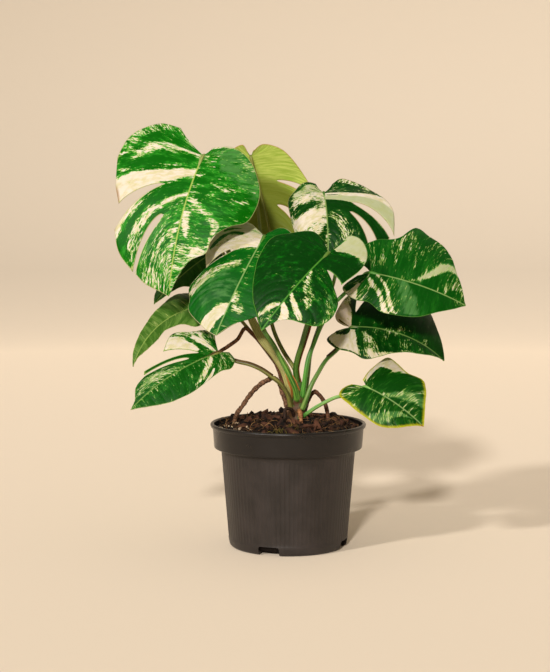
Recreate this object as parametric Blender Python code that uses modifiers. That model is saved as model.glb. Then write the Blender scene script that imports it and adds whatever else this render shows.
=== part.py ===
# Variegated monstera in a black 19 cm nursery pot.
# Origin at the centre of the pot's flat bottom, +Z up, the leaves' display side facing -Y.
# The tables below are in millimetres; meshes are in metres.
import math

import bmesh
import bpy
import numpy as np

MM = 0.001

# Pot, turned about Z
POT_HEIGHT = 151.0
RIM_RADIUS = 95.0
LIP_HEIGHT = 5.0
BAND_TOP_RADIUS = 92.0
BAND_FOOT_RADIUS = 90.4
BAND_FOOT_HEIGHT = 121.0
BODY_TOP_RADIUS = 82.0
BASE_RADIUS = 72.0
BASE_CORNER = 5.0
WALL = 1.8
FLOOR = 2.5
POT_SEGMENTS = 40
NOTCH_COUNT = 4
NOTCH_FIRST_ANGLE = -109.5
NOTCH_WIDTH = 26.0
NOTCH_HEIGHT = 11.0
NOTCH_DEPTH = 16.0
NOTCH_CORNER = 3.0

# Potting mix
MIX_EDGE_HEIGHT = 146.0
MIX_CROWN_HEIGHT = 156.0
GAP = 0.3
HOLE_GAP = 0.35

# Stem, a short stout crown: centre line and radii
STEM_LINE = [(12, 3, 104), (12, 3, 140), (12, 3, 164), (12.5, 4, 186), (13, 5, 200)]
STEM_RADII = [7.0, 10.5, 12.0, 11.0, 6.5]

# Leaves
BLADE_THICKNESS = 0.9
BLADE_ROWS = 5
BLADE_COLUMNS = 12
SINUS_SHARE = 0.2
HEEL_LENGTH = 30.0
CUT_REACH = 0.12
COLUMN_GAP = 0.035
STALK_SIDES_RESOLUTION = 1
STALK_SAMPLES = 15
MIDRIB_SHARES = (0.12, 0.3, 0.5, 0.7, 0.86)
MIDRIB_START_RADIUS = 2.0
MIDRIB_END_RADIUS = 0.7
MIDRIB_SINK = 0.45
STALK_TAPER = 0.62
ROOT_TAPER = 0.85
ROOT_SAMPLES = 12

# Each leaf: sinus and tip are the ends of its midrib, faces is the azimuth from -Y and the
# elevation of its upper face, arch and bow are the midrib's rise and its sideways bow.
# Each half: fold is the angle at which it leaves the midrib, droop the angle it turns through
# by its widest point, heel the turn of its basal lobe. rim is the margin as (vein, along, across),
# vein 0 at the sinus and 1 at the tip. Two rim points at one vein are the two sides of a cut,
# and cuts lists for each one the share of the vein that stays whole and the cut's extra width.
LEAVES = {
    "leaf_top_left": dict(
        sinus=(-103, 12, 475), tip=(-142, -45, 308), faces=(-8, 20), arch=14, bow=-4,
        left=dict(
            fold=8, droop=30, heel=5,
            rim=[(0, -36, 39), (0.1, -42, 70), (0.2, -17, 104), (0.3, 36, 104), (0.37, 82, 82),
                 (0.37, 116, 79), (0.45, 144, 67), (0.52, 163, 47),
                 (0.52, 164, 44), (0.65, 174, 30), (0.8, 180, 11), (1, 184, 0)],
            cuts=[(0.3, 5), (0.34, 17)]),
        right=dict(
            fold=8, droop=35, heel=25,
            rim=[(0, -14, 9), (0.1, -21, 28), (0.2, -10, 53), (0.33, 23, 79), (0.45, 56, 84),
                 (0.53, 77, 77), (0.6, 88, 59), (0.67, 105, 43), (0.75, 126, 38), (0.83, 135, 21),
                 (0.9, 153, 11), (1, 184, 0)],
            cuts=[]),
        stalk=[(6, 3, 178), (1, 2, 200), (-5, 3, 216), (-14, 4, 230), (-33, 6, 254), (-47, 12, 280),
               (-61, 22, 314), (-71, 32, 350), (-80, 38, 380), (-89, 38, 415), (-98, 30, 455),
               (-103, 12, 475)],
        stalk_radius=3.9),
    "leaf_top_back": dict(
        sinus=(-47, 106, 476), tip=(-14, 122, 338), faces=(172, 10), arch=10, bow=0,
        left=dict(
            fold=5, droop=25, heel=20,
            rim=[(0, -7, 5), (0.1, -12, 21), (0.2, 2, 45), (0.3, 35, 61), (0.38, 67, 70),
                 (0.38, 77, 63), (0.48, 98, 57), (0.55, 112, 48),
                 (0.55, 127, 38), (0.7, 140, 30), (0.85, 148, 17), (1, 145, 0)],
            cuts=[(0.26, 4), (0.26, 6)]),
        right=dict(
            fold=5, droop=25, heel=20,
            rim=[(0, -8, 2), (0.1, -18, 7), (0.2, -10, 30), (0.35, 18, 55), (0.5, 54, 62),
                 (0.65, 88, 55), (0.8, 118, 35), (0.9, 132, 17), (1, 145, 0)],
            cuts=[]),
        stalk=[(14, 12, 186), (14, 18, 198), (8, 25, 213), (-6, 31, 235), (-17, 39, 258),
               (-25, 56, 298), (-32, 86, 355), (-38, 118, 410), (-44, 124, 455), (-47, 106, 476)],
        stalk_radius=2.8),
    "leaf_top_right": dict(
        sinus=(45, 82, 430), tip=(49, 26, 357), faces=(6, 36), arch=12, bow=0,
        left=dict(
            fold=12, droop=35, heel=-10,
            rim=[(0, -22, 8), (0.1, -22, 26), (0.2, 8, 44), (0.35, 46, 46), (0.5, 70, 41),
                 (0.65, 86, 34), (0.8, 94, 22), (0.9, 98, 11), (1, 97, 0)],
            cuts=[]),
        right=dict(
            fold=12, droop=30, heel=-25,
            rim=[(0, -19, 13), (0.1, -28, 29), (0.2, -8, 61), (0.28, 34, 85), (0.34, 73, 84),
                 (0.34, 76, 78), (0.44, 91, 63),
                 (0.44, 97, 52), (0.6, 108, 32), (0.8, 108, 15), (0.9, 103, 7), (1, 97, 0)],
            cuts=[(0.3, 10), (0.36, 4)]),
        stalk=[(20, 8, 181), (23, 13, 197), (25, 18, 212), (27, 24, 229), (32, 31, 247), (40, 40, 269),
               (51, 56, 298), (61, 78, 334), (60, 102, 381), (52, 104, 414), (45, 82, 430)],
        stalk_radius=2.6),
    "leaf_mid_left": dict(
        sinus=(-29, -8, 378), tip=(-86, -60, 262), faces=(-12, 38), arch=10, bow=2,
        left=dict(
            fold=12, droop=40, heel=30,
            rim=[(0, -5, 10), (0.08, -12, 31), (0.16, 6, 58), (0.24, 37, 66), (0.32, 66, 49),
                 (0.32, 80, 57), (0.42, 95, 62), (0.54, 110, 52), (0.66, 123, 46), (0.8, 134, 24),
                 (0.9, 139, 11), (1, 141, 0)],
            cuts=[(0.35, 8)]),
        right=dict(
            fold=12, droop=40, heel=30,
            rim=[(0, -9, 2), (0.1, -19, 12), (0.2, -17, 28), (0.35, 3, 50), (0.5, 41, 57),
                 (0.65, 74, 53), (0.8, 103, 39), (0.9, 121, 17), (1, 141, 0)],
            cuts=[]),
        stalk=[(11, -4, 178), (8, -9, 194), (2, -12, 208), (-7, -13, 226), (-18, -13, 247),
               (-31, -12, 267), (-38, -6, 295), (-39, 4, 325), (-36, 10, 355), (-31, 6, 371),
               (-29, -8, 378)],
        stalk_radius=3.3),
    "leaf_front": dict(
        sinus=(47, -45, 359), tip=(-32, -95, 271), faces=(2, 36), arch=10, bow=0,
        left=dict(
            fold=10, droop=35, heel=25,
            rim=[(0, -12, 14), (0.08, -15, 33), (0.18, 2, 53), (0.28, 24, 69), (0.36, 56, 62),
                 (0.46, 80, 50), (0.58, 104, 32), (0.72, 116, 18), (0.86, 124, 8), (1, 130, 0)],
            cuts=[]),
        right=dict(
            fold=8, droop=30, heel=-10,
            rim=[(0, -28, 2), (0.06, -38, 6), (0.12, -41, 19), (0.2, -28, 38), (0.27, -3, 43),
                 (0.33, 29, 40),
                 (0.33, 41, 38), (0.43, 50, 52), (0.53, 70, 57), (0.62, 87, 51), (0.73, 96, 35),
                 (0.82, 102, 19), (0.91, 112, 8), (1, 130, 0)],
            cuts=[(0.3, 4)]),
        stalk=[(12, 4, 186), (10, 4, 205), (9, 3, 216), (11, 0, 228), (16, -6, 246), (22, -14, 269),
               (32, -22, 302), (41, -26, 331), (46, -28, 350), (47, -45, 359)],
        stalk_radius=3.7),
    "leaf_left": dict(
        sinus=(-100, 22, 292), tip=(-188, -8, 220), faces=(-28, 42), arch=14, bow=-12,
        left=dict(
            fold=10, droop=30, heel=20,
            rim=[(0, -7, 15), (0.1, -12, 34), (0.2, -1, 44), (0.35, 26, 36), (0.5, 49, 25),
                 (0.65, 71, 18), (0.8, 92, 13), (0.92, 110, 7), (1, 122, 0)],
            cuts=[]),
        right=dict(
            fold=10, droop=30, heel=20,
            rim=[(0, 9, 20), (0.1, 20, 32), (0.2, 31, 34), (0.35, 45, 21), (0.5, 62, 15),
                 (0.65, 78, 16), (0.8, 95, 12), (0.92, 110, 4), (1, 122, 0)],
            cuts=[]),
        stalk=[(5, 11, 172), (0, 19, 190), (-8, 24, 209), (-26, 28, 235), (-48, 30, 262),
               (-69, 33, 284), (-88, 34, 296), (-100, 22, 292)],
        stalk_radius=2.7),
    "leaf_low_left": dict(
        sinus=(-84, -20, 238), tip=(-187, -58, 174), faces=(-14, 36), arch=10, bow=-3,
        left=dict(
            fold=10, droop=30, heel=30,
            rim=[(0, -13, 28), (0.06, -12, 41), (0.14, 10, 48), (0.22, 32, 56), (0.28, 54, 37),
                 (0.28, 88, 27), (0.36, 91, 22),
                 (0.36, 88, 20), (0.5, 105, 18), (0.65, 113, 11), (0.8, 118, 5), (1, 129, 0)],
            cuts=[(0.22, 2), (0.28, 12)]),
        right=dict(
            fold=10, droop=35, heel=60,
            rim=[(0, -15, 3), (0.05, -14, 16), (0.1, -2, 27), (0.16, 12, 27), (0.24, 21, 28),
                 (0.34, 34, 31), (0.46, 55, 34), (0.6, 75, 32), (0.75, 91, 27), (0.88, 107, 17),
                 (1, 129, 0)],
            cuts=[]),
        stalk=[(4, -2, 168), (-1, -8, 187), (-10, -11, 200), (-20, -12, 208), (-33, -12, 217),
               (-47, -11, 223), (-61, -9, 226), (-74, -6, 230), (-84, -20, 238)],
        stalk_radius=3.0),
    "leaf_right": dict(
        sinus=(99, -12, 334), tip=(214, -10, 294), faces=(14, 36), arch=11, bow=-2,
        left=dict(
            fold=10, droop=40, heel=20,
            rim=[(0, -15, 6), (0.08, -31, 22), (0.14, -25, 32), (0.22, -11, 40), (0.32, 6, 41),
                 (0.42, 23, 49), (0.52, 44, 48), (0.64, 69, 42), (0.76, 91, 27), (0.88, 109, 14),
                 (1, 124, 0)],
            cuts=[]),
        right=dict(
            fold=10, droop=40, heel=20,
            rim=[(0, -15, 12), (0.08, -22, 33), (0.16, -15, 42), (0.24, -1, 53), (0.34, 23, 65),
                 (0.42, 40, 97), (0.5, 58, 87), (0.6, 78, 76), (0.7, 93, 57), (0.8, 101, 38),
                 (0.9, 112, 22), (1, 124, 0)],
            cuts=[]),
        stalk=[(17, -1, 182), (19, -4, 197), (21, -6, 212), (24, -5, 229), (31, -2, 248), (40, 3, 269),
               (53, 8, 292), (69, 12, 308), (86, 10, 324), (99, -12, 334)],
        stalk_radius=3.3),
    "leaf_mid_right": dict(
        sinus=(77, 16, 266), tip=(191, 20, 224), faces=(12, 48), arch=18, bow=0,
        left=dict(
            fold=10, droop=40, heel=25,
            rim=[(0, -5, 6), (0.04, -21, 4), (0.08, -32, 11), (0.13, -16, 32), (0.19, 7, 41),
                 (0.27, 23, 48), (0.37, 41, 43), (0.48, 58, 33), (0.6, 72, 26), (0.75, 91, 18),
                 (0.88, 113, 7), (1, 129, 0)],
            cuts=[]),
        right=dict(
            fold=10, droop=40, heel=-60,
            rim=[(0, -10, 2), (0.05, -21, 8), (0.1, -23, 21), (0.15, -15, 54), (0.21, -5, 67),
                 (0.21, 17, 66), (0.35, 34, 84), (0.5, 58, 88), (0.65, 88, 82), (0.75, 99, 65),
                 (0.85, 107, 43), (0.93, 118, 22), (1, 129, 0)],
            cuts=[(0.3, 3)]),
        stalk=[(17, -6, 168), (22, -9, 181), (28, -6, 197), (36, 0, 211), (46, 8, 226), (59, 18, 237),
               (70, 25, 247), (77, 28, 257), (77, 16, 266)],
        stalk_radius=3.1),
    "leaf_low_right": dict(
        sinus=(93, -30, 198), tip=(160, -52, 153), faces=(6, 38), arch=8, bow=0,
        left=dict(
            fold=10, droop=35, heel=25,
            rim=[(0, -4, 4), (0.05, -21, 4), (0.1, -28, 11), (0.16, -25, 23), (0.24, -2, 32),
                 (0.34, 18, 36), (0.45, 41, 37), (0.6, 60, 27), (0.75, 71, 15), (0.88, 79, 6),
                 (1, 86, 0)],
            cuts=[]),
        right=dict(
            fold=10, droop=35, heel=25,
            rim=[(0, -9, 7), (0.06, -11, 23), (0.12, -10, 45), (0.18, -8, 57), (0.24, 6, 56),
                 (0.3, 25, 50), (0.4, 44, 52), (0.5, 53, 52), (0.6, 61, 42), (0.72, 68, 29),
                 (0.86, 76, 15), (1, 86, 0)],
            cuts=[]),
        stalk=[(14, -7, 157), (22, -12, 163), (33, -14, 171), (45, -16, 178), (58, -17, 184),
               (70, -16, 186), (83, -16, 190), (93, -30, 198)],
        stalk_radius=2.7),
    "leaf_back_left": dict(
        sinus=(-88, 52, 359), tip=(-165, 34, 293), faces=(-30, 20), arch=8, bow=0,
        left=dict(
            fold=8, droop=30, heel=20,
            rim=[(0, -3, 13), (0.1, -1, 28), (0.25, 20, 36), (0.45, 53, 28), (0.65, 77, 16),
                 (0.85, 97, 7), (1, 105, 0)],
            cuts=[]),
        right=dict(
            fold=8, droop=30, heel=20,
            rim=[(0, -1, 9), (0.1, 5, 23), (0.25, 24, 35), (0.45, 51, 27), (0.65, 67, 12),
                 (0.85, 91, 5), (1, 105, 0)],
            cuts=[]),
        stalk=[(8, 14, 180), (5, 24, 197), (-2, 31, 213), (-20, 38, 243), (-40, 46, 283),
               (-58, 57, 317), (-75, 67, 346), (-88, 52, 359)],
        stalk_radius=2.6),
}

# Aerial roots: centre line and radius
ROOTS = {
    "root_left": ([(2, 3, 160), (-6, 3, 184), (-12, 3, 200), (-18, 2, 205), (-27, 0, 202),
                   (-38, -2, 194), (-48, -4, 183), (-54, -6, 174), (-62, -8, 163),
                   (-68, -8, 138)], 2.4),
    "root_free": ([(5, 9, 158), (-4, 10, 180), (-8, 12, 202), (-16, 13, 224), (-30, 15, 243),
                   (-44, 16, 258), (-52, 11, 265), (-62, 3, 252), (-74, 6, 243), (-84, 10, 236),
                   (-94, 12, 222)], 2.3),
    "root_right": ([(19, 5, 158), (26, 9, 180), (32, 10, 187), (40, 11, 181), (46, 12, 170),
                    (50, 12, 138)], 2.2),
    "root_front_left": ([(8, -5, 158), (2, -12, 169), (-3, -15, 169), (-4, -17, 160),
                         (-5, -18, 138)], 2.2),
    "root_front": ([(13, -7, 166), (14, -16, 166), (15, -24, 158), (16, -28, 136)], 2.6),
}


def clear_scene():
    for item in list(bpy.data.objects):
        bpy.data.objects.remove(item, do_unlink=True)


def new_collection(name, parent=None):
    group = bpy.data.collections.new(name)
    (parent or bpy.context.scene.collection).children.link(group)
    return group


def make_material(name, colour, roughness):
    made = bpy.data.materials.new(name)
    made.use_nodes = True
    shader = made.node_tree.nodes["Principled BSDF"]
    shader.inputs["Base Color"].default_value = (*colour, 1.0)
    shader.inputs["Roughness"].default_value = roughness
    shader.inputs["Metallic"].default_value = 0.0
    return made


def add_mesh_object(name, mesh, group, colour=None, roughness=0.5):
    made = bpy.data.objects.new(name, mesh)
    group.objects.link(made)
    if colour is not None:
        mesh.materials.append(make_material(name, colour, roughness))
        mesh.shade_smooth()
        mesh.set_sharp_from_angle(angle=math.radians(40))
    return made


def as_cutter(item):
    item.hide_render = True
    item.display_type = "WIRE"
    return item


def smooth_path(points, samples):
    """Points on a Catmull-Rom curve through the given ones, evenly spaced by their chords."""
    points = np.array(points, float)
    steps = np.linalg.norm(np.diff(points, axis=0), axis=1)
    knots = np.concatenate([[0], np.cumsum(steps)])
    wanted = np.linspace(0, knots[-1], samples)
    return hermite(knots, points, wanted)


def hermite(knots, values, wanted):
    """Cubic through values at uneven knots, with the slope at each taken from its neighbours."""
    slopes = np.gradient(values, knots, axis=0)
    index = np.clip(np.searchsorted(knots, wanted, side="right") - 1, 0, len(knots) - 2)
    width = (knots[index + 1] - knots[index])[:, None]
    u = (wanted - knots[index])[:, None] / width
    return (
        (2 * u**3 - 3 * u**2 + 1) * values[index]
        + (u**3 - 2 * u**2 + u) * width * slopes[index]
        + (3 * u**2 - 2 * u**3) * values[index + 1]
        + (u**3 - u**2) * width * slopes[index + 1]
    )


def make_tube(name, points, radii, resolution, group):
    """A tube with filled caps along points, made a mesh so that it can be cut and joined."""
    curve = bpy.data.curves.new(name, "CURVE")
    curve.dimensions = "3D"
    curve.bevel_depth = MM
    curve.bevel_resolution = resolution
    curve.use_fill_caps = True
    spline = curve.splines.new("POLY")
    spline.points.add(len(points) - 1)
    for node, point, radius in zip(spline.points, points, radii):
        node.co = (*(np.array(point) * MM), 1.0)
        node.radius = radius
    source = bpy.data.objects.new(name + "_curve", curve)
    bpy.context.scene.collection.objects.link(source)
    bpy.context.view_layer.update()
    depsgraph = bpy.context.evaluated_depsgraph_get()
    mesh = bpy.data.meshes.new_from_object(source.evaluated_get(depsgraph))
    mesh.name = name
    weld = bmesh.new()
    weld.from_mesh(mesh)
    bmesh.ops.remove_doubles(weld, verts=weld.verts, dist=1e-6)
    bmesh.ops.recalc_face_normals(weld, faces=weld.faces)
    weld.to_mesh(mesh)
    weld.free()
    made = bpy.data.objects.new(name, mesh)
    made.matrix_world = source.matrix_world.copy()
    group.objects.link(made)
    bpy.data.objects.remove(source, do_unlink=True)
    return made


def make_turned(name, profile, segments, group, colour, roughness):
    """A profile of (radius, height) turned about Z, from the top of its outer side down."""
    mesh = bpy.data.meshes.new(name)
    points = [(radius * MM, 0, height * MM) for radius, height in profile]
    mesh.from_pydata(points, [(i, i + 1) for i in range(len(points) - 1)], [])
    made = add_mesh_object(name, mesh, group, colour, roughness)
    screw = made.modifiers.new("turn", "SCREW")
    screw.steps = segments
    screw.render_steps = segments
    screw.use_merge_vertices = True
    screw.merge_threshold = 0.00001
    screw.use_normal_calculate = True
    return made


def cut(item, cutters, name):
    tool = item.modifiers.new(name, "BOOLEAN")
    tool.operation = "DIFFERENCE"
    tool.operand_type = "COLLECTION"
    tool.collection = cutters
    tool.solver = "EXACT"


def body_radius(height):
    """Outer radius of the pot's tapered body at a height."""
    share = height / BAND_FOOT_HEIGHT
    return BASE_RADIUS + (BODY_TOP_RADIUS - BASE_RADIUS) * share


def make_pot(group, cutters):
    """One moulded shell: rounded lip, upright band, tapered body and floor."""
    lip_foot = POT_HEIGHT - LIP_HEIGHT
    step = BAND_FOOT_HEIGHT
    profile = [
        (RIM_RADIUS - 2.0, POT_HEIGHT),
        (RIM_RADIUS - 0.5, POT_HEIGHT - 0.6),
        (RIM_RADIUS, POT_HEIGHT - 2.0),
        (RIM_RADIUS - 0.3, lip_foot + 0.8),
        (BAND_TOP_RADIUS, lip_foot),
        (BAND_FOOT_RADIUS, step + 1.5),
        (BAND_FOOT_RADIUS - 1.5, step),
        (BODY_TOP_RADIUS, step - 1.0),
        (body_radius(11), 11),
        (body_radius(BASE_CORNER) - 0.4, BASE_CORNER),
        (BASE_RADIUS - 1.4, 1.4),
        (BASE_RADIUS - BASE_CORNER, 0),
        (0, 0),
        (0, FLOOR),
        (BASE_RADIUS - BASE_CORNER - 0.5, FLOOR),
        (body_radius(BASE_CORNER) - WALL - 0.4, BASE_CORNER + 1.5),
        (BODY_TOP_RADIUS - WALL, step - 1.0 + WALL),
        (BAND_FOOT_RADIUS - WALL - 1.0, step + WALL),
        (BAND_TOP_RADIUS - WALL, lip_foot),
        (RIM_RADIUS - 3.4, POT_HEIGHT - 0.6),
        (RIM_RADIUS - 2.0, POT_HEIGHT),
    ]
    pot = make_turned("pot", profile, POT_SEGMENTS, group, (0.022, 0.02, 0.019), 0.42)
    for index in range(NOTCH_COUNT):
        angle = math.radians(NOTCH_FIRST_ANGLE + 360 / NOTCH_COUNT * index)
        bpy.ops.mesh.primitive_cube_add(size=1)
        notch = bpy.context.object
        notch.name = f"notch_cutter_{index + 1}"
        for owner in list(notch.users_collection):
            owner.objects.unlink(notch)
        cutters.objects.link(notch)
        size = (NOTCH_DEPTH * MM, NOTCH_WIDTH * MM, 2 * NOTCH_HEIGHT * MM)
        for vertex in notch.data.vertices:
            vertex.co = [value * share for value, share in zip(vertex.co, size)]
        radius = (BASE_RADIUS + 2.0) * MM
        notch.location = (radius * math.cos(angle), radius * math.sin(angle), 0)
        notch.rotation_euler = (0, 0, angle)
        bevel = notch.modifiers.new("corner", "BEVEL")
        bevel.width = NOTCH_CORNER * MM
        bevel.segments = 2
        as_cutter(notch)
    cut(pot, cutters, "notches")
    return pot


def make_mix(group, cutters):
    """The potting mix: it fills the pot to just under the lip and rises a little to the stem."""
    step = BAND_FOOT_HEIGHT
    inset = WALL + GAP + 0.4
    profile = [
        (0, MIX_CROWN_HEIGHT),
        (18, MIX_CROWN_HEIGHT - 1.0),
        (45, MIX_CROWN_HEIGHT - 4.5),
        (70, MIX_EDGE_HEIGHT + 2.0),
        (BAND_TOP_RADIUS - inset - 0.8, MIX_EDGE_HEIGHT - 3.0),
        (BAND_FOOT_RADIUS - inset - 1.6, step + 4.0),
        (BODY_TOP_RADIUS - inset - 0.2, step + 3.0),
        (BODY_TOP_RADIUS - inset - 1.0, step - 3.0),
        (body_radius(BASE_CORNER) - inset - 1.2, BASE_CORNER + 3.0),
        (BASE_RADIUS - BASE_CORNER - 4.0, FLOOR + GAP + 0.1),
        (0, FLOOR + GAP + 0.1),
    ]
    mix = make_turned("potting_mix", profile, POT_SEGMENTS, group, (0.06, 0.03, 0.017), 0.95)
    cut(mix, cutters, "stem_and_root_holes")
    return mix


def hole_radius(radius, resolution):
    """Radius of a faceted hole whose flats clear a round of the given radius."""
    sides = 4 + 2 * resolution
    return (radius + HOLE_GAP) / math.cos(math.pi / sides)


def make_stem(group, sockets, mix_holes):
    points = smooth_path(STEM_LINE, 9)
    share = np.linspace(0, len(STEM_RADII) - 1, 9)
    radii = np.interp(share, range(len(STEM_RADII)), STEM_RADII)
    stem = make_tube("stem", points, radii, 3, group)
    stem.data.materials.append(make_material("stem", (0.09, 0.12, 0.03), 0.6))
    cut(stem, sockets, "stalk_sockets")
    wide = [hole_radius(radius, 3) for radius in radii]
    points[0][2] -= HOLE_GAP
    as_cutter(make_tube("stem_hole", points, wide, 3, mix_holes))
    return stem


def midrib_frame(leaf):
    """The sinus, the side, tip and face directions, and the radius and half angle of the arch."""
    sinus = np.array(leaf["sinus"], float)
    reach = np.array(leaf["tip"], float) - sinus
    chord = np.linalg.norm(reach)
    along = reach / chord
    azimuth, rise = (math.radians(value) for value in leaf["faces"])
    face = np.array([
        math.cos(rise) * math.sin(azimuth), -math.cos(rise) * math.cos(azimuth), math.sin(rise)])
    face -= along * (face @ along)
    face /= np.linalg.norm(face)
    side = np.cross(face, along)
    radius = (chord**2 / 4 + leaf["arch"] ** 2) / (2 * leaf["arch"])
    half_angle = math.asin(chord / 2 / radius)
    return sinus, side, along, face, radius, half_angle


def midrib_length(leaf):
    *_, radius, half_angle = midrib_frame(leaf)
    return 2 * radius * half_angle


def bend(leaf, half, sign, across, down):
    """Bend flat blade points (across the midrib, down along it) to their place in space.

    Along the leaf the midrib is an arc from sinus to tip, and behind the sinus the lobe turns
    by its heel angle. Across it the blade leaves at the fold angle and turns steadily down.
    """
    sinus, side, along, face, radius, half_angle = midrib_frame(leaf)
    length = 2 * radius * half_angle
    heel_radius = HEEL_LENGTH / math.radians(half["heel"] or 0.01)
    bend_radius = np.where(down >= 0, radius, heel_radius)
    turn = half_angle - down / bend_radius
    forward = bend_radius * (math.sin(half_angle) - np.sin(turn))
    rise = bend_radius * (np.cos(turn) - math.cos(half_angle))
    share = np.clip(down / length, 0, 1)
    bow = leaf["bow"] * 4 * share * (1 - share)
    fold = math.radians(half["fold"])
    widest = max(point[2] for point in half["rim"])
    rate = math.radians(half["droop"]) / widest
    out = (math.sin(fold) - np.sin(fold - rate * across)) / rate
    lift = (np.cos(fold - rate * across) - math.cos(fold)) / rate
    normal = np.cos(turn)[..., None] * face - np.sin(turn)[..., None] * along
    return (
        sinus
        + forward[..., None] * along
        + rise[..., None] * face
        + (sign * out + bow)[..., None] * side
        + lift[..., None] * normal
    )


def vein_curve(length, vein, end, v):
    """Flat points of veins: each leaves the midrib square and sweeps towards its rim point."""
    sweep = np.clip(0.2 + vein, 0, 1)[:, None]
    root = (np.clip((vein - SINUS_SHARE) / (1 - SINUS_SHARE), 0, 1) * length)[:, None]
    down, across = end[:, :1], end[:, 1:]
    belly = sweep * v * (1 - v)
    return across * (v + belly), root + (down - root) * (v - belly)


def split_lobes(rim):
    """The rim's points, parted where two of them share a vein: there the blade is cut."""
    lobes = [[rim[0]]]
    for before, after in zip(rim, rim[1:]):
        if after[0] == before[0]:
            lobes.append([after])
        else:
            lobes[-1].append(after)
    return lobes


def half_blade(leaf, half, columns):
    """Grids (vein, across, down) for each lobe, the lobes drawn together below their cuts."""
    length = midrib_length(leaf)
    v = np.linspace(0, 1, BLADE_ROWS + 1)[None, :]
    lobes = split_lobes(half["rim"])
    grids = []
    for index, lobe in enumerate(lobes):
        first, last = lobe[0][0], lobe[-1][0]
        inner = columns[(columns > first + 0.01) & (columns < last - 0.01)]
        vein = np.concatenate([[first], inner, [last]])
        knots = np.array([point[0] for point in lobe])
        ends = hermite(knots, np.array([point[1:] for point in lobe], float), vein)
        across, down = vein_curve(length, vein, ends, v)
        for at_end, cut_index in ((False, index - 1), (True, index)):
            if not 0 <= cut_index < len(half["cuts"]):
                continue
            whole, width = half["cuts"][cut_index]
            edge = last if at_end else first
            own = np.array([lobe[-1 if at_end else 0][1:]], float)
            other = np.array([lobes[index + 1][0][1:] if at_end else lobes[index - 1][-1][1:]], float)
            own_curve = vein_curve(length, np.array([edge]), own, v)
            other_curve = vein_curve(length, np.array([edge]), other, v)
            open_share = np.clip((v - whole) / (1 - whole), 0, 1)
            joined = 1 - np.sqrt(open_share)
            widening = (-1 if at_end else 1) * width * np.sqrt(open_share * (1 - open_share))
            reach = np.clip(1 - np.abs(vein - edge) / min(last - first, CUT_REACH), 0, 1)
            reach = (reach**2 * (3 - 2 * reach))[:, None]
            across = across - reach * joined * (own_curve[0] - other_curve[0]) / 2
            down = down - reach * (joined * (own_curve[1] - other_curve[1]) / 2 - widening)
        grids.append((across, down))
    return grids


def blade_mesh(name, leaf):
    """The blade as one open sheet of triangles, split alike on both faces once it is thick."""
    cuts = {point[0] for side in ("left", "right") for point in leaf[side]["rim"]
            if [other[0] for other in leaf[side]["rim"]].count(point[0]) > 1}
    even = {share for share in np.linspace(0, 1, BLADE_COLUMNS + 1)
            if all(abs(share - cut_share) > COLUMN_GAP for cut_share in cuts)}
    columns = np.array(sorted(cuts | even))
    points, faces = [], []
    for side, sign in (("left", -1), ("right", 1)):
        for across, down in half_blade(leaf, leaf[side], columns):
            start = len(points)
            points.extend((bend(leaf, leaf[side], sign, across, down) * MM).reshape(-1, 3).tolist())
            rows = across.shape[1]
            for i in range(across.shape[0] - 1):
                for j in range(rows - 1):
                    a = start + i * rows + j
                    b, c, d = a + 1, a + rows + 1, a + rows
                    ring = (a, b, c, d) if sign > 0 else (d, c, b, a)
                    faces.append((ring[0], ring[1], ring[2]))
                    faces.append((ring[0], ring[2], ring[3]))
    mesh = bpy.data.meshes.new(name)
    mesh.from_pydata(points, [], faces)
    weld = bmesh.new()
    weld.from_mesh(mesh)
    bmesh.ops.remove_doubles(weld, verts=weld.verts, dist=0.00005)
    weld.to_mesh(mesh)
    weld.free()
    return mesh


def stalk_path(leaf):
    """Centre line and radii of the stalk, which runs on under the blade as its midrib."""
    stalk = smooth_path(leaf["stalk"], STALK_SAMPLES)
    radius = leaf["stalk_radius"]
    stalk_radii = np.linspace(radius, max(MIDRIB_START_RADIUS, radius * STALK_TAPER), STALK_SAMPLES)
    length = midrib_length(leaf)
    shares = np.array(MIDRIB_SHARES)
    ribs = bend(leaf, leaf["left"], -1, np.zeros_like(shares), shares * length)
    rib_radii = np.linspace(MIDRIB_START_RADIUS, MIDRIB_END_RADIUS, len(shares))
    face = midrib_frame(leaf)[3]
    ribs = ribs - face * (rib_radii * MIDRIB_SINK)[:, None]
    return np.concatenate([stalk, ribs]), np.concatenate([stalk_radii, rib_radii])


def make_leaf(name, leaf, group, joined, sockets):
    """One blade with its midrib and stalk grown together, set in a socket of the stem."""
    colour = (0.02, 0.16, 0.025)
    blade = add_mesh_object(name, blade_mesh(name, leaf), group, colour, 0.35)
    thick = blade.modifiers.new("thickness", "SOLIDIFY")
    thick.thickness = BLADE_THICKNESS * MM
    thick.offset = 0
    points, radii = stalk_path(leaf)
    stalk = as_cutter(make_tube(name + "_stalk", points, radii, STALK_SIDES_RESOLUTION, joined))
    union = blade.modifiers.new("stalk", "BOOLEAN")
    union.operation = "UNION"
    union.object = stalk
    union.solver = "MANIFOLD"
    make_socket(name + "_socket", points[:5], radii[:5], sockets)
    return blade


def make_socket(name, points, radii, sockets):
    """A hole that the lower end of a stalk or root stands in, a little deeper than that end."""
    points = np.array(points, float)
    inward = (points[0] - points[1]) / np.linalg.norm(points[0] - points[1])
    points[0] += inward * HOLE_GAP
    wide = [hole_radius(radius, STALK_SIDES_RESOLUTION) for radius in radii]
    as_cutter(make_tube(name, points, wide, STALK_SIDES_RESOLUTION, sockets))


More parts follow.
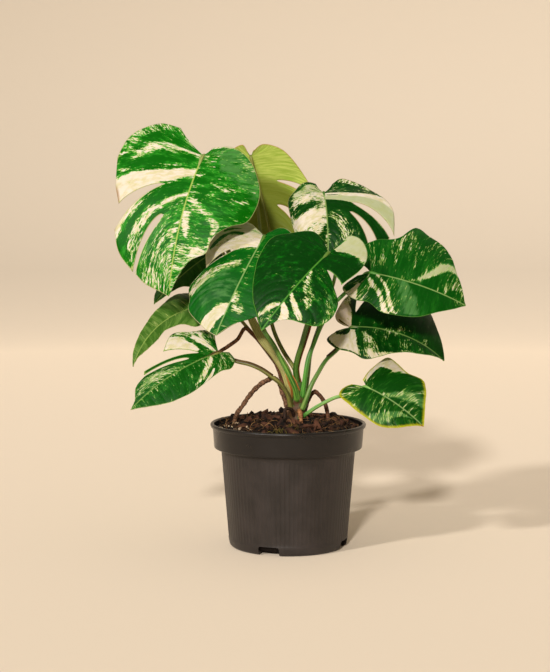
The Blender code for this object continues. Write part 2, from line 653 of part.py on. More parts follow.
def make_root(name, line, radius, group, sockets, mix_holes):
    points = smooth_path(line, ROOT_SAMPLES)
    radii = np.linspace(radius, radius * ROOT_TAPER, ROOT_SAMPLES)
    root = make_tube(name, points, radii, STALK_SIDES_RESOLUTION, group)
    root.data.materials.append(make_material(name, (0.14, 0.07, 0.03), 0.8))
    make_socket(name + "_socket", points[:4], radii[:4], sockets)
    below = int(np.sum(points[:, 2] < MIX_CROWN_HEIGHT + 10))
    if line[-1][2] < MIX_EDGE_HEIGHT:
        make_socket(name + "_hole", points[::-1][:below], radii[::-1][:below], mix_holes)
    return root


def main():
    clear_scene()
    parts = new_collection("potted_monstera")
    cutters = new_collection("cutters")
    notches = new_collection("notches", cutters)
    sockets = new_collection("sockets", cutters)
    mix_holes = new_collection("mix_holes", cutters)
    joined = new_collection("joined_stalks", cutters)
    make_pot(parts, notches)
    make_mix(parts, mix_holes)
    for name, leaf in LEAVES.items():
        make_leaf(name, leaf, parts, joined, sockets)
    for name, (line, radius) in ROOTS.items():
        make_root(name, line, radius, parts, sockets, mix_holes)
    make_stem(parts, sockets, mix_holes)


main()
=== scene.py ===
# Variegated monstera in a black nursery pot: the looks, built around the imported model.
# Tables are in millimetres, meshes in metres; +Z up, the camera looks along +Y.
import math

import bmesh
import bpy
import numpy as np
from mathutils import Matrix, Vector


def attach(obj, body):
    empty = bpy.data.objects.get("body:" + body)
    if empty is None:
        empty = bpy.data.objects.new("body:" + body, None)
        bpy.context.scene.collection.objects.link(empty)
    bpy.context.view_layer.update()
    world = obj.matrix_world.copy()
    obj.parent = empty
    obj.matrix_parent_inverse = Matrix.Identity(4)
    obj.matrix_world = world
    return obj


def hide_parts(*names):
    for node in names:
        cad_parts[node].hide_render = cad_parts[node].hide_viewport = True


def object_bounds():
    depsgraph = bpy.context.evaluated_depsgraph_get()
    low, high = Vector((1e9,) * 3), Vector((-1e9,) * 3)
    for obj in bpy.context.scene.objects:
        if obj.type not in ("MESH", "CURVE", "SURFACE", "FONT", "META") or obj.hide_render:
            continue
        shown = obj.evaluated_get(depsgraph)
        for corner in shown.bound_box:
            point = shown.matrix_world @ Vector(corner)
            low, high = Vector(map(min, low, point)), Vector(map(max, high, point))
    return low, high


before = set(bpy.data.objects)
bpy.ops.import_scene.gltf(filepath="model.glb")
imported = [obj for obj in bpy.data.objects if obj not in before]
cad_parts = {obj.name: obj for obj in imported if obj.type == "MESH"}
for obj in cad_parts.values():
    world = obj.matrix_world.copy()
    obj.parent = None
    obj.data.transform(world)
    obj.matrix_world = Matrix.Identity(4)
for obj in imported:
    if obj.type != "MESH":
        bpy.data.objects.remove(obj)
cadBox = [list(corner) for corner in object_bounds()]
mm = 0.001


# Numbers and curves

def smoothStep(x, low, high):
    # 3t^2 - 2t^3 of the share of the way from low to high
    t = np.clip((x - low) / (high - low), 0, 1)
    return t * t * (3 - 2 * t)


def chordSums(points):
    # distance from the first point to each along the chords
    return np.concatenate([[0], np.cumsum(np.linalg.norm(np.diff(points, axis=0), axis=1))])


def hermite(knots, values, wanted):
    # cubic through values at uneven knots, its slope at each taken from the neighbours
    slopes = np.gradient(values, knots, axis=0)
    index = np.clip(np.searchsorted(knots, wanted, side="right") - 1, 0, len(knots) - 2)
    width = (knots[index + 1] - knots[index])[:, None]
    u = (wanted - knots[index])[:, None] / width
    return ((2 * u**3 - 3 * u**2 + 1) * values[index] + (u**3 - 2 * u**2 + u) * width * slopes[index]
            + (3 * u**2 - 2 * u**3) * values[index + 1] + (u**3 - u**2) * width * slopes[index + 1])


def smoothPath(points, samples):
    # the cubic through the points, sampled evenly by their chords
    points = np.array(points, float)
    knots = chordSums(points)
    return hermite(knots, points, np.linspace(0, knots[-1], samples))


hashPrimes = np.array([73856093, 19349663, 83492791, 40503])  # any large odd numbers scatter the corners


def latticeNoise(points, size, seed):
    # random numbers at the corners of cubes of that size, from -1 to 1, blended by 3t^2 - 2t^3 each way
    cell = np.floor(points / size).astype(np.int64)
    t = points / size - cell
    t = t * t * (3 - 2 * t)
    total = np.zeros(points.shape[:-1])
    for corner in range(8):
        step = np.array([corner & 1, corner >> 1 & 1, corner >> 2 & 1])
        mixed = np.bitwise_xor.reduce((cell + step) * hashPrimes[:3], axis=-1) ^ seed * hashPrimes[3]
        mixed = (mixed ^ mixed >> 13) * 1274126177 & 0x7fffffff
        value = (mixed >> 8 & 0xffff) / 32767.5 - 1
        total += value * np.prod(np.where(step == 1, t, 1 - t), axis=-1)
    return total


def unit(vectors):
    return vectors / np.maximum(np.linalg.norm(vectors, axis=-1, keepdims=True), 1e-9)


def turned(radius, height, angle):
    # a grid of points: radius and height, a column each, carried round Z through the angles
    return np.stack([radius * np.cos(angle), radius * np.sin(angle), height + 0 * angle], axis=-1)


def aroundPath(path, radius, angle, run):
    # points at a radius from each point of a path: angle 0 is level, to one side of the way that the path
    # runs, and a quarter turn on is its upper side
    along = unit(np.gradient(path, axis=0))
    level = np.array([run[1], -run[0], 0.0])
    side = unit(level - along * (along @ level)[:, None])
    upper = np.cross(side, along)
    return path[:, None] + radius[..., None] * (
        np.cos(angle)[..., None] * side[:, None] + np.sin(angle)[..., None] * upper[:, None])


# Meshes from grids of points

def buildMesh(name, sheets, weld=0.004):
    # each sheet is a grid of points in mm made into quads that face along (row step x column step), with
    # its own uv and marks at the corners; seams and poles close where points fall together
    vertices, quads, uvs, marks = [], [], [], []
    start = 0
    for sheet in sheets:
        points = sheet["points"]
        rows, columns = points.shape[:2]
        first = (np.arange(rows - 1)[:, None] * columns + np.arange(columns - 1)).ravel()
        ring = np.stack([first, first + columns, first + columns + 1, first + 1], axis=1)
        if sheet.get("flip"):
            ring = ring[:, ::-1]
        vertices.append(points.reshape(-1, 3))
        quads.append(ring + start)
        uvs.append(sheet.get("uv", np.zeros((rows, columns, 2))).reshape(-1, 2))
        marks.append(sheet.get("marks", np.zeros((rows, columns, 4))).reshape(-1, 4))
        start += rows * columns
    vertices, quads = np.concatenate(vertices), np.concatenate(quads)
    mesh = bpy.data.meshes.new(name)
    mesh.from_pydata((vertices * mm).tolist(), [], quads.tolist())
    corners = quads.ravel()
    mesh.uv_layers.new(name="surface").data.foreach_set("uv", np.concatenate(uvs)[corners].ravel())
    if any("marks" in sheet for sheet in sheets):
        layer = mesh.attributes.new("marks", "FLOAT_COLOR", "CORNER")
        layer.data.foreach_set("color", np.concatenate(marks)[corners].ravel())
    welded = bmesh.new()
    welded.from_mesh(mesh)
    bmesh.ops.remove_doubles(welded, verts=welded.verts, dist=weld * mm)
    welded.to_mesh(mesh)
    welded.free()
    mesh.shade_smooth()
    return mesh


def addObject(name, data):
    item = bpy.data.objects.new(name, data)
    bpy.context.scene.collection.objects.link(item)
    return item


def addPiece(name, mesh, materials, nodes):
    piece = addObject(name, mesh)
    for material in materials:
        mesh.materials.append(material)
    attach(piece, "root")
    if nodes:
        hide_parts(*nodes)
    return piece


def tubeSheet(path, radii, sides, shape=None, run=None):
    # circles of the given radii carried along a path and closed to a point at both ends, each radius times
    # shape(angle, share of length)
    angle = np.linspace(0, 2 * math.pi, sides + 1)
    steps = chordSums(path)
    radius = radii[:, None] * (shape(angle[None, :], (steps / steps[-1])[:, None]) if shape else 1)
    points = aroundPath(path, radius, angle[None, :], path[-1] - path[0] if run is None else run)
    points[:, -1] = points[:, 0]
    caps = [np.repeat(path[end][None, None], sides + 1, 1) for end in (0, -1)]
    down = np.concatenate([steps[:1], steps, steps[-1:]])
    uv = np.stack(np.broadcast_arrays(angle[None, :] * radii.mean(), down[:, None]), axis=-1)
    return dict(points=np.concatenate([caps[0], points, caps[1]]), uv=uv)


def roughen(sheet, path, rough, coarse, fine, share, seed):
    # a tube's points moved away from its path: 1 + rough * (coarse noise + share * fine noise)
    centre = np.concatenate([path[:1], path, path[-1:]])[:, None]
    points = sheet["points"]
    noise = latticeNoise(points, coarse, seed) + share * latticeNoise(points, fine, seed + 1)
    points = centre + (points - centre) * (1 + rough * noise)[..., None]
    points[:, -1] = points[:, 0]
    sheet["points"] = points
    return sheet


# Materials

def linear(code, alpha=1.0):
    # an sRGB hex colour as linear numbers
    parts = np.array([int(code[i:i + 2], 16) for i in (1, 3, 5)]) / 255
    parts = np.where(parts <= 0.04045, parts / 12.92, ((parts + 0.055) / 1.055) ** 2.4)
    return (*parts.tolist(), alpha)


def addNode(tree, kind, inputs=None, **settings):
    # an input is given as a socket, a number, a tuple or a hex colour
    node = tree.nodes.new(kind)
    for key, value in settings.items():
        setattr(node, key, value)
    for key, value in (inputs or {}).items():
        if isinstance(value, bpy.types.NodeSocket):
            tree.links.new(value, node.inputs[key])
        else:
            node.inputs[key].default_value = linear(value) if isinstance(value, str) else value
    return node


def newMaterial(name, roughness, specular):
    material = bpy.data.materials.new(name)
    material.use_nodes = True
    shader = material.node_tree.nodes["Principled BSDF"]
    shader.inputs["Roughness"].default_value = roughness
    shader.inputs["Specular IOR Level"].default_value = specular
    return material, material.node_tree, shader


def noiseAt(tree, vector, size, detail=2.0, rough=0.55, shift=0.0):
    # noise whose blotches are about size wide, size in the units of the vector
    sizes = size if isinstance(size, tuple) else (size, size, size)
    placed = addNode(tree, "ShaderNodeMapping", {
        "Vector": vector, "Location": (shift, shift * 1.7, shift * 0.6),
        "Scale": tuple(1 / width for width in sizes)})
    return addNode(tree, "ShaderNodeTexNoise", {
        "Vector": placed.outputs[0], "Scale": 1.0, "Detail": detail, "Roughness": rough}).outputs["Fac"]


def maths(tree, operation, a, b=0.0, c=0.0):
    return addNode(tree, "ShaderNodeMath", {0: a, 1: b, 2: c}, operation=operation).outputs[0]


def weigh(tree, *terms):
    # the sum of values, each times its weight
    total = 0.0
    for value, weight in terms:
        total = maths(tree, "MULTIPLY_ADD", value, weight, total)
    return total


def ramp(tree, value, low, high, toLow=0.0, toHigh=1.0):
    return addNode(tree, "ShaderNodeMapRange", {
        "Value": value, "From Min": low, "From Max": high, "To Min": toLow, "To Max": toHigh},
        interpolation_type="SMOOTHSTEP").outputs[0]


def blend(tree, share, a, b):
    return addNode(tree, "ShaderNodeMix", {0: share, 6: a, 7: b}, data_type="RGBA").outputs[2]


def layered(tree, colour, *layers):
    # colours laid over each other: a layer is a value, the two limits between which it comes in, its
    # greatest share and its colour
    for value, low, high, most, top in layers:
        colour = blend(tree, ramp(tree, value, low, high, 0.0, most), colour, top)
    return colour


def paint(tree, shader, base, *layers):
    tree.links.new(layered(tree, base, *layers), shader.inputs["Base Color"])


def bump(tree, shader, height, distance, strength=1.0):
    node = addNode(tree, "ShaderNodeBump", {"Height": height, "Distance": distance, "Strength": strength})
    tree.links.new(node.outputs[0], shader.inputs["Normal"])


def heightOf(tree, vector, axis="Z"):
    return addNode(tree, "ShaderNodeSeparateXYZ", {0: vector}).outputs[axis]


def surfaceUv(tree):
    return addNode(tree, "ShaderNodeUVMap", uv_map="surface").outputs[0]


def objectMm(tree):
    # Object coordinates in millimetres
    place = addNode(tree, "ShaderNodeTexCoord").outputs["Object"]
    inputs = {0: place, "Scale": 1 / mm}
    return addNode(tree, "ShaderNodeVectorMath", inputs, operation="SCALE").outputs[0]


# Camera, light and backdrop

view = dict(place=(-0.0161, -1.921, 0.4247), pitch=85.0, lens=85.0, film=36.0)
light = dict(keyFrom=(-10.0, 24.0), keyPower=2.6, sideFrom=(-48.0, 33.0), sidePower=1.5, width=5.0,
             colour="#fff8f0", skyColour="#fff3e4", skyPower=0.38)
sweep = dict(flat=2.6, radius=4.0, height=3.4, flatRings=40, bendRings=24, sides=96, floor="#efe2cf",
             dim=1.5, wall=0.57)


def makeCamera():
    data = bpy.data.cameras.new("camera")
    data.sensor_fit = "VERTICAL"
    data.sensor_height = view["film"]
    data.lens = view["lens"]
    camera = addObject("camera", data)
    camera.location = view["place"]
    camera.rotation_euler = (math.radians(view["pitch"]), 0, 0)
    bpy.context.scene.camera = camera


def makeLamp(name, source, power):
    data = bpy.data.lights.new(name, "SUN")
    data.energy = power
    data.color = linear(light["colour"])[:3]
    data.angle = math.radians(light["width"])
    azimuth, height = (math.radians(value) for value in source)
    addObject(name, data).rotation_euler = (math.pi / 2 - height, 0, azimuth)


def makeLight():
    # a warm key from beside the camera, a second lamp from the upper left, and an even sky for the rest
    makeLamp("key", light["keyFrom"], light["keyPower"])
    makeLamp("side", light["sideFrom"], light["sidePower"])
    world = bpy.data.worlds.new("sky")
    world.use_nodes = True
    background = world.node_tree.nodes["Background"]
    background.inputs["Color"].default_value = linear(light["skyColour"])
    background.inputs["Strength"].default_value = light["skyPower"]
    bpy.context.scene.world = world
    bpy.context.scene.view_settings.view_transform = "Standard"


def makeSweep():
    # a round floor that turns up into a wall on every side: radius and height from one quarter circle
    share = np.linspace(0, 1, sweep["flatRings"])
    turn = np.linspace(0, math.pi / 2, sweep["bendRings"])
    bend = sweep["radius"] - sweep["flat"]
    radius = np.concatenate([share * sweep["flat"], sweep["flat"] + bend * np.sin(turn), [sweep["radius"]]])
    height = np.concatenate([share * 0, bend * (1 - np.cos(turn)), [sweep["height"]]])
    angle = np.linspace(0, 2 * math.pi, sweep["sides"] + 1)
    points = turned(radius[:, None], height[:, None], angle) / mm
    backdrop = addObject("backdrop", buildMesh("backdrop", [dict(points=points)]))
    # even and chalky, without a sheen
    material, tree, shader = newMaterial("matte backdrop paper", 0.95, 0.1)
    upward = heightOf(tree, addNode(tree, "ShaderNodeNewGeometry").outputs["Normal"])
    # share of the floor's colour: 1 / (1 + dim s), s the sine of its tilt, and not under that of the wall;
    # this is painted shade on the upturned wall, which the lamps light more than the floor, so that it
    # looks as bright as the floor
    tilt = maths(tree, "SQRT", maths(tree, "SUBTRACT", 1.0, maths(tree, "MULTIPLY", upward, upward)))
    share = maths(tree, "MAXIMUM", sweep["wall"], maths(
        tree, "DIVIDE", 1.0, maths(tree, "MULTIPLY_ADD", tilt, sweep["dim"], 1.0)))
    colour = blend(tree, share, "#000000", sweep["floor"])
    paint(tree, shader, colour)
    backdrop.data.materials.append(material)
    backdrop.visible_shadow = False  # the lamps stand outside it


makeCamera()
makeLight()
makeSweep()
print("camera, light and backdrop made")


# Pot

pot = dict(height=151.0, rimRadius=95.0, lipHeight=5.0, bandTop=92.0, bandFoot=90.4, bandFootHeight=121.0,
           bodyTop=82.0, base=72.0, corner=5.0, wall=1.8, floor=2.5, ledge=11.0, flutes=92, fluteDepth=0.32,
           fluteSides=8, fluteFoot=(11.5, 13.5), fluteHead=(114.0, 117.5), bead=2.3, rimRound=12, sharp=35,
           notches=4, notchAngle=-109.5, notchWidth=26.0, notchHeight=11.0, notchDepth=44.0,
           notchCorner=3.0)


def bodyRadius(height):
    # outer radius of the pot's tapered body
    return pot["base"] + (pot["bodyTop"] - pot["base"]) * height / pot["bandFootHeight"]


def arc(centre, radius, start, end, count):
    # points of a round corner in (radius, height), angles in degrees
    angle = np.radians(np.linspace(start, end, count))
    return np.stack([centre[0] + radius * np.cos(angle), centre[1] + radius * np.sin(angle)], axis=1)


def potProfile():
    # outer side from the lip down to the floor's middle, then up the inner side and over the lip again
    step, lipFoot = pot["bandFootHeight"], pot["height"] - pot["lipHeight"]
    bead = pot["bead"]
    beadCentre = (pot["rimRadius"] - bead, pot["height"] - bead)
    heights = np.linspace(step - 2.5, pot["ledge"] + 0.8, 46)
    body = np.stack([bodyRadius(heights), heights], axis=1)
    return np.concatenate([
        arc(beadCentre, bead, 90, -20, pot["rimRound"]),
        arc((pot["rimRadius"] - 1.9, lipFoot + 1.2), 1.4, -20, -80, 5),
        arc((pot["bandTop"] + 1.1, lipFoot - 1.1), 1.1, 90, 180, 5),
        np.linspace((pot["bandTop"] - 0.1, lipFoot - 3), (pot["bandFoot"] + 0.1, step + 2.2), 8),
        arc((pot["bandFoot"] - 1.3, step + 1.3), 1.3, 0, -90, 6),
        [(pot["bandFoot"] - 3.0, step)],
        arc((pot["bodyTop"] + 1.0, step - 1.0), 1.0, 90, 180, 5),
        body,
        [(bodyRadius(pot["ledge"]) + 0.25, pot["ledge"] - 0.3), (bodyRadius(8) + 0.15, 8.0)],
        arc((pot["base"] - pot["corner"] + 0.15, pot["corner"]), pot["corner"], 0, -90, 9),
        [(pot["base"] - 12, 0.0), (pot["base"] - 14, 0.8), (20, 0.8), (0, 0.8), (0, pot["floor"]),
         (pot["base"] - 8, pot["floor"])],
        np.linspace((pot["base"] - pot["wall"] - 0.6, 6.5), (pot["bodyTop"] - pot["wall"], step), 12),
        [(pot["bandFoot"] - pot["wall"] - 1, step + 2), (pot["bandTop"] - pot["wall"], lipFoot),
         (pot["rimRadius"] - 4.4, pot["height"] - 2.6)],
        arc(beadCentre, bead, 165, 90, pot["rimRound"] // 2),
    ])


def makePot():
    # the profile turned about Z, its body waved by fine flutes: radius less depth times |sin| of the angle
    profile = potProfile()
    angle = np.linspace(0, 2 * math.pi, pot["flutes"] * pot["fluteSides"] + 1)
    radius = profile[:, 0, None] + 0 * angle
    height = profile[:, 1, None]
    outside = np.arange(len(profile)) < np.argmin(profile[:, 0])
    fluted = outside[:, None] * smoothStep(height, *pot["fluteFoot"])
    fluted = fluted * (1 - smoothStep(height, *pot["fluteHead"]))
    width = 1 + 0.5 * np.sin(3 * angle) * np.sin(7 * angle + 1)
    radius = radius - fluted * pot["fluteDepth"] * width * np.abs(np.sin(pot["flutes"] / 2 * angle)) ** 0.6
    uv = np.stack(np.broadcast_arrays(angle * pot["base"], height), axis=-1)
    shell = addObject("potShell", buildMesh("pot", [dict(points=turned(radius, height, angle), uv=uv)]))
    cutters = [makeNotchCutter(index) for index in range(pot["notches"])]
    for cutter in cutters:
        tool = shell.modifiers.new("notch", "BOOLEAN")
        tool.object = cutter
        tool.solver = "EXACT"
    bpy.context.view_layer.update()
    cut = bpy.data.meshes.new_from_object(shell.evaluated_get(bpy.context.evaluated_depsgraph_get()))
    for item in [shell, *cutters]:
        bpy.data.objects.remove(item, do_unlink=True)
    cut.materials.clear()
    cut.set_sharp_from_angle(angle=math.radians(pot["sharp"]))
    addPiece("nurseryPot", cut, [potPlastic()], ["pot"])


def makeNotchCutter(index):
    # a box with rounded edges across the foot of the wall
    angle = math.radians(pot["notchAngle"] + 360 / pot["notches"] * index)
    mesh = bpy.data.meshes.new("notchCutter")
    box = bmesh.new()
    bmesh.ops.create_cube(box, size=1)
    size = np.array([pot["notchDepth"], pot["notchWidth"], 2 * pot["notchHeight"]]) * mm
    bmesh.ops.scale(box, vec=size, verts=box.verts)
    bmesh.ops.bevel(box, geom=box.edges[:], offset=pot["notchCorner"] * mm, segments=4, profile=0.5,
                    affect="EDGES")
    box.to_mesh(mesh)
    box.free()
    cutter = addObject(f"notchCutter{index}", mesh)
    radius = (pot["base"] + 2.0) * mm
    cutter.location = (radius * math.cos(angle), radius * math.sin(angle), 0)
    cutter.rotation_euler = (0, 0, angle)
    return cutter


def potPlastic():
    # recycled polypropylene: charcoal, satin, a little streaky and dusty; the band smoother and painted
    # darker, a painted dark reflection on its smooth face
    material, tree, shader = newMaterial("moulded black polypropylene", 0.42, 0.35)
    uv, place = surfaceUv(tree), objectMm(tree)
    height, bandEdge = heightOf(tree, place), (119.0, 122.0)
    streak = noiseAt(tree, uv, (4.0, 70.0, 5.0), 3, 0.65)
    cloud = noiseAt(tree, place, 26.0, 3)
    paint(tree, shader, "#221e1c",
          (weigh(tree, (streak, 0.25), (cloud, 0.75)), 0.3, 0.7, 1.0, "#302a28"),
          # painted reflection: the band is painted darker for the dark surroundings that its smooth face
          # reflects
          (height, *bandEdge, 0.85, "#14110f"),
          (noiseAt(tree, place, 1.2, 3, 0.7), 0.62, 0.75, 0.16, "#6a5f58"))
    rough = weigh(tree, (ramp(tree, cloud, 0.3, 0.7, 0.38, 0.5), 1.0),
                  (ramp(tree, height, *bandEdge), -0.12))
    tree.links.new(rough, shader.inputs["Roughness"])
    bump(tree, shader, weigh(tree, (noiseAt(tree, place, 0.5, 2), 0.4), (streak, 0.3)), 0.0002, 0.3)
    return material


makePot()
print("pot made")


# Potting mix: mound, bark chips, fibres and moss

mix = dict(radius=88.2, crown=((0, 156.0), (18, 155.0), (45, 151.5), (70, 148.0), (88.2, 143.5)), rings=90,
           sides=320, under=((87, 138), (86, 125), (79.3, 122), (76, 80), (70, 12), (62.5, 3), (0, 3)),
           clear=9.0, reach=85.5, crumbs=1700, crumbSize=(2.2, 9.5), chips=140, chipSize=(8, 20), grit=70,
           gritX=(-62, 11), gritY=(-26, 20), mossAt=(-6, -74, 7), sharp=30,
           fibres=460, fibreLength=(5, 18), fibrePoints=9, seed=7)
# gritX and gritY are middle and spread, mossAt is x, y and spread. The clods and crumbs that roughen the
# mound are each height in mm, width in mm and seed.
clods = ((3.2, 17.0, 3), (2.0, 7.0, 4), (1.1, 3.1, 5), (0.5, 1.5, 6))


def moundHeight(x, y):
    # height of the mound: the crown's profile and the clods on it, lower near the wall of the pot
    radius = np.hypot(x, y)
    knots = np.array(mix["crown"], float)
    flat = np.stack([x, y, 0 * x], axis=-1)
    rough = sum(height * latticeNoise(flat, size, seed) for height, size, seed in clods)
    calm = 1 - smoothStep(radius, 80, 88)
    return np.interp(radius, knots[:, 0], knots[:, 1]) + rough * (0.35 + 0.65 * calm)


def makeMound():
    # rings of the mound from the middle out, then down inside the pot and in again under the mix
    angle = np.linspace(0, 2 * math.pi, mix["sides"] + 1)
    rings = np.linspace(0, 1, mix["rings"])[:, None] * mix["radius"]
    flat = turned(rings, 0 * rings, angle)
    top = np.concatenate([flat[..., :2], moundHeight(flat[..., 0], flat[..., 1])[..., None]], axis=-1)
    under = np.array(mix["under"])
    points = np.concatenate([top, turned(under[:, :1], under[:, 1:], angle)])
    points[:, -1] = points[:, 0]
    addPiece("pottingMix", buildMesh("mound", [dict(points=points)]), [peat()], ["potting_mix"])


def peat():
    # damp peat and bark: red-brown crumbs on near-black peat; the near black follows the hollows of the
    # bump, painted shade there as well as the peat's own dark colour
    material, tree, shader = newMaterial("damp peat and bark", 0.92, 0.2)
    place = objectMm(tree)
    crumb = noiseAt(tree, place, 2.4, 4, 0.7)
    fleck = noiseAt(tree, place, 0.9, 2, 0.6, 9.0)
    # the crumb noise lifts the bump and lightens the colour together, so the hollows carry painted shade
    paint(tree, shader, "#040201", (crumb, 0.35, 0.68, 1.0, "#1f1008"),
          (noiseAt(tree, place, 11.0, 3), 0.45, 0.7, 0.8, "#0a0503"), (fleck, 0.7, 0.76, 0.7, "#5c4028"))
    bump(tree, shader, weigh(tree, (crumb, 1.0), (fleck, 0.4)), 0.0015, 0.9)
    return material


def scatterPlaces(rng, count, inner=mix["clear"], outer=mix["reach"]):
    # random places on the mound, even by area, clear of the stem
    radius = np.sqrt(rng.uniform(inner**2, outer**2, count))
    angle = rng.uniform(0, 2 * math.pi, count)
    return radius * np.cos(angle), radius * np.sin(angle)


def chipRound():
    # one chip before it is stretched: rings of a ball, flattened towards a block
    lat, lon = np.radians([90, 45, -45, -90]), np.radians(np.arange(0, 361, 60))
    ball = turned(np.cos(lat)[:, None], np.sin(lat)[:, None], lon)
    return np.sign(ball) * np.abs(ball) ** 0.7


def rotations(axis, angle):
    # matrices that turn about one axis, 0 for X to 2 for Z, by each angle
    matrices = np.zeros((len(angle), 3, 3))
    a, b = (axis + 1) % 3, (axis + 2) % 3
    matrices[:, axis, axis] = 1
    matrices[:, a, a] = matrices[:, b, b] = np.cos(angle)
    matrices[:, b, a] = np.sin(angle)
    matrices[:, a, b] = -np.sin(angle)
    return matrices


def randomTurns(rng, count, tilt):
    # a full turn about Z, then a tilt of up to that many degrees each way about Y and X
    spin = rng.uniform(0, 2 * math.pi, count)
    tips = np.radians(rng.uniform(-tilt, tilt, (2, count)))
    return rotations(0, tips[0]) @ rotations(1, tips[1]) @ rotations(2, spin)


def barkSizes(rng, length, widths, heights):
    # sizes of chips: their lengths, and widths and heights drawn as shares of them
    shares = [rng.uniform(*limits, len(length)) for limits in (widths, heights)]
    return np.stack([length, length * shares[0], length * shares[1]], axis=1)


def makeChips(name, rng, x, y, sizes, lift, tilt, material):
    # the stretched, roughened and turned chip at each place, sunk a little into the mound
    count = len(x)
    chip = np.broadcast_to(chipRound(), (count, 4, 7, 3)) * sizes[:, None, None, :] / 2
    rough = 1 + 0.28 * rng.uniform(-1, 1, (count, 4, 7))
    rough[:, :, -1] = rough[:, :, 0]
    rough[:, 0] = rough[:, 0, :1]
    rough[:, -1] = rough[:, -1, :1]
    chip = chip * rough[..., None]
    chip = np.einsum("nij,nabj->nabi", randomTurns(rng, count, tilt), chip)
    chip = chip + np.stack([x, y, moundHeight(x, y) + lift], axis=-1)[:, None, None, :]
    low, high = np.array(cadBox) / mm
    mesh = buildMesh(name, [dict(points=one) for one in np.clip(chip, low, high)], weld=0.0005)
    mesh.set_sharp_from_angle(angle=math.radians(mix["sharp"]))
    addPiece(name, mesh, [material], [])


def barkMaterial(name, dark, light, size):
    # chipped bark: fibrous along its length, dull, each chip its own tone
    material, tree, shader = newMaterial(name, 0.85, 0.25)
    place = objectMm(tree)
    own = noiseAt(tree, place, size, 1)
    fine = noiseAt(tree, place, (0.8, 0.8, 0.5), 3, 0.7)
    share = weigh(tree, (own, 1.3), (fine, 0.7))
    paint(tree, shader, dark, (share, 0.8, 1.3, 1.0, light))
    bump(tree, shader, fine, 0.0006, 0.8)
    return material


def makeFibres(name, rng, count, lengths, radius, material, arch=0.25, outer=84.0, middle=None):
    # thin three-sided threads: arcs on random bearings, rising by up to arch times their length in the
    # middle, over the whole mound or round a middle given as x, y and spread
    x, y = scatterPlaces(rng, count, 12.0, outer) if middle is None else (
        rng.normal(middle[0], middle[2], count), rng.normal(middle[1], middle[2], count))
    length = rng.uniform(*lengths, count)
    bearing = rng.uniform(0, 2 * math.pi, count)
    curl = rng.uniform(-1.6, 1.6, count)
    rise = rng.uniform(0.05, arch, count) * length
    t = np.linspace(0, 1, mix["fibrePoints"])[None, :]
    turn = bearing[:, None] + curl[:, None] * (t - 0.5)
    step = length[:, None] / (mix["fibrePoints"] - 1)
    px = x[:, None] + np.cumsum(np.cos(turn), axis=1) * step
    py = y[:, None] + np.cumsum(np.sin(turn), axis=1) * step
    inside = np.minimum(1, mix["reach"] / np.maximum(np.hypot(px, py), 1e-6))
    px, py = px * inside, py * inside
    pz = moundHeight(px, py) * 0.4 + 0.6 * moundHeight(x, y)[:, None] + rise[:, None] * 4 * t * (1 - t)
    pz = pz + rise[:, None] * rng.uniform(-0.2, 0.9, count)[:, None] * t
    paths = np.stack([px, py, pz], axis=-1)
    radii = np.linspace(radius, radius * 0.5, mix["fibrePoints"])
    sheets = [tubeSheet(path, radii, 3) for path in paths]
    addPiece(name, buildMesh(name, sheets, weld=0.0005), [material], [])


def fibreMaterial(name, dark, light):
    # coir and dry rootlets: straw to brown, dull
    material, tree, shader = newMaterial(name, 0.8, 0.3)
    tone = noiseAt(tree, objectMm(tree), 6.0, 2)
    paint(tree, shader, dark, (tone, 0.35, 0.65, 1.0, light))
    return material


def makePottingMix():
    makeMound()
    rng = np.random.default_rng(mix["seed"])
    x, y = scatterPlaces(rng, mix["crumbs"])
    low, high = mix["crumbSize"]
    sizes = barkSizes(rng, low + (high - low) * rng.random(len(x)) ** 2.2, (0.4, 0.8), (0.2, 0.45))
    makeChips("barkCrumbs", rng, x, y, sizes, 0.6, 50,
              barkMaterial("composted bark", "#060301", "#33200f", 9.0))
    x, y = scatterPlaces(rng, mix["chips"], 14, 80)
    sizes = barkSizes(rng, rng.uniform(*mix["chipSize"], len(x)), (0.4, 0.7), (0.18, 0.35))
    makeChips("barkChips", rng, x, y, sizes, 2.0, 62,
              barkMaterial("pine bark chips", "#0a0402", "#5c3a29", 16.0))
    x, y = rng.normal(*mix["gritX"], mix["grit"]), rng.normal(*mix["gritY"], mix["grit"])
    inside = np.minimum(1, 84.0 / np.hypot(x, y))
    sizes = rng.uniform(1.6, 4.6, (len(x), 1)) * rng.uniform(0.6, 1, (len(x), 3))
    makeChips("paleGrit", rng, x * inside, y * inside, sizes, 1.3, 60,
              barkMaterial("pale wood fibre", "#8b745c", "#d8c6a6", 5.0))
    makeFibres("coirFibres", rng, mix["fibres"], mix["fibreLength"], 0.32,
               fibreMaterial("coir fibre", "#1c1008", "#86603c"))
    makeFibres("dryRootlets", rng, 60, (8, 20), 0.45,
               fibreMaterial("dry rootlets", "#54381f", "#9a7448"), 0.5)
    makeFibres("mossSprigs", rng, 34, (5, 10), 0.55,
               fibreMaterial("moss sprigs", "#33300f", "#7a6a28"), 0.7, middle=mix["mossAt"])


makePottingMix()
print("potting mix made")


# Leaves

def halfLeaf(fold, droop, heel, rim, cuts=()):
    # fold is the angle at which a half leaves the midrib, droop the angle it turns through by its widest
    # point, heel the turn of its basal lobe. rim is the margin as (vein in hundredths, along, across), vein
    # 0 at the sinus and 100 at the tip; two points at one vein are the sides of a cut. cuts gives for each
    # the share of the vein that stays whole and its extra width.
    rim = [(vein / 100, *flat) for vein, *flat in rim]
    return dict(fold=fold, droop=droop, heel=heel, rim=rim, cuts=cuts)


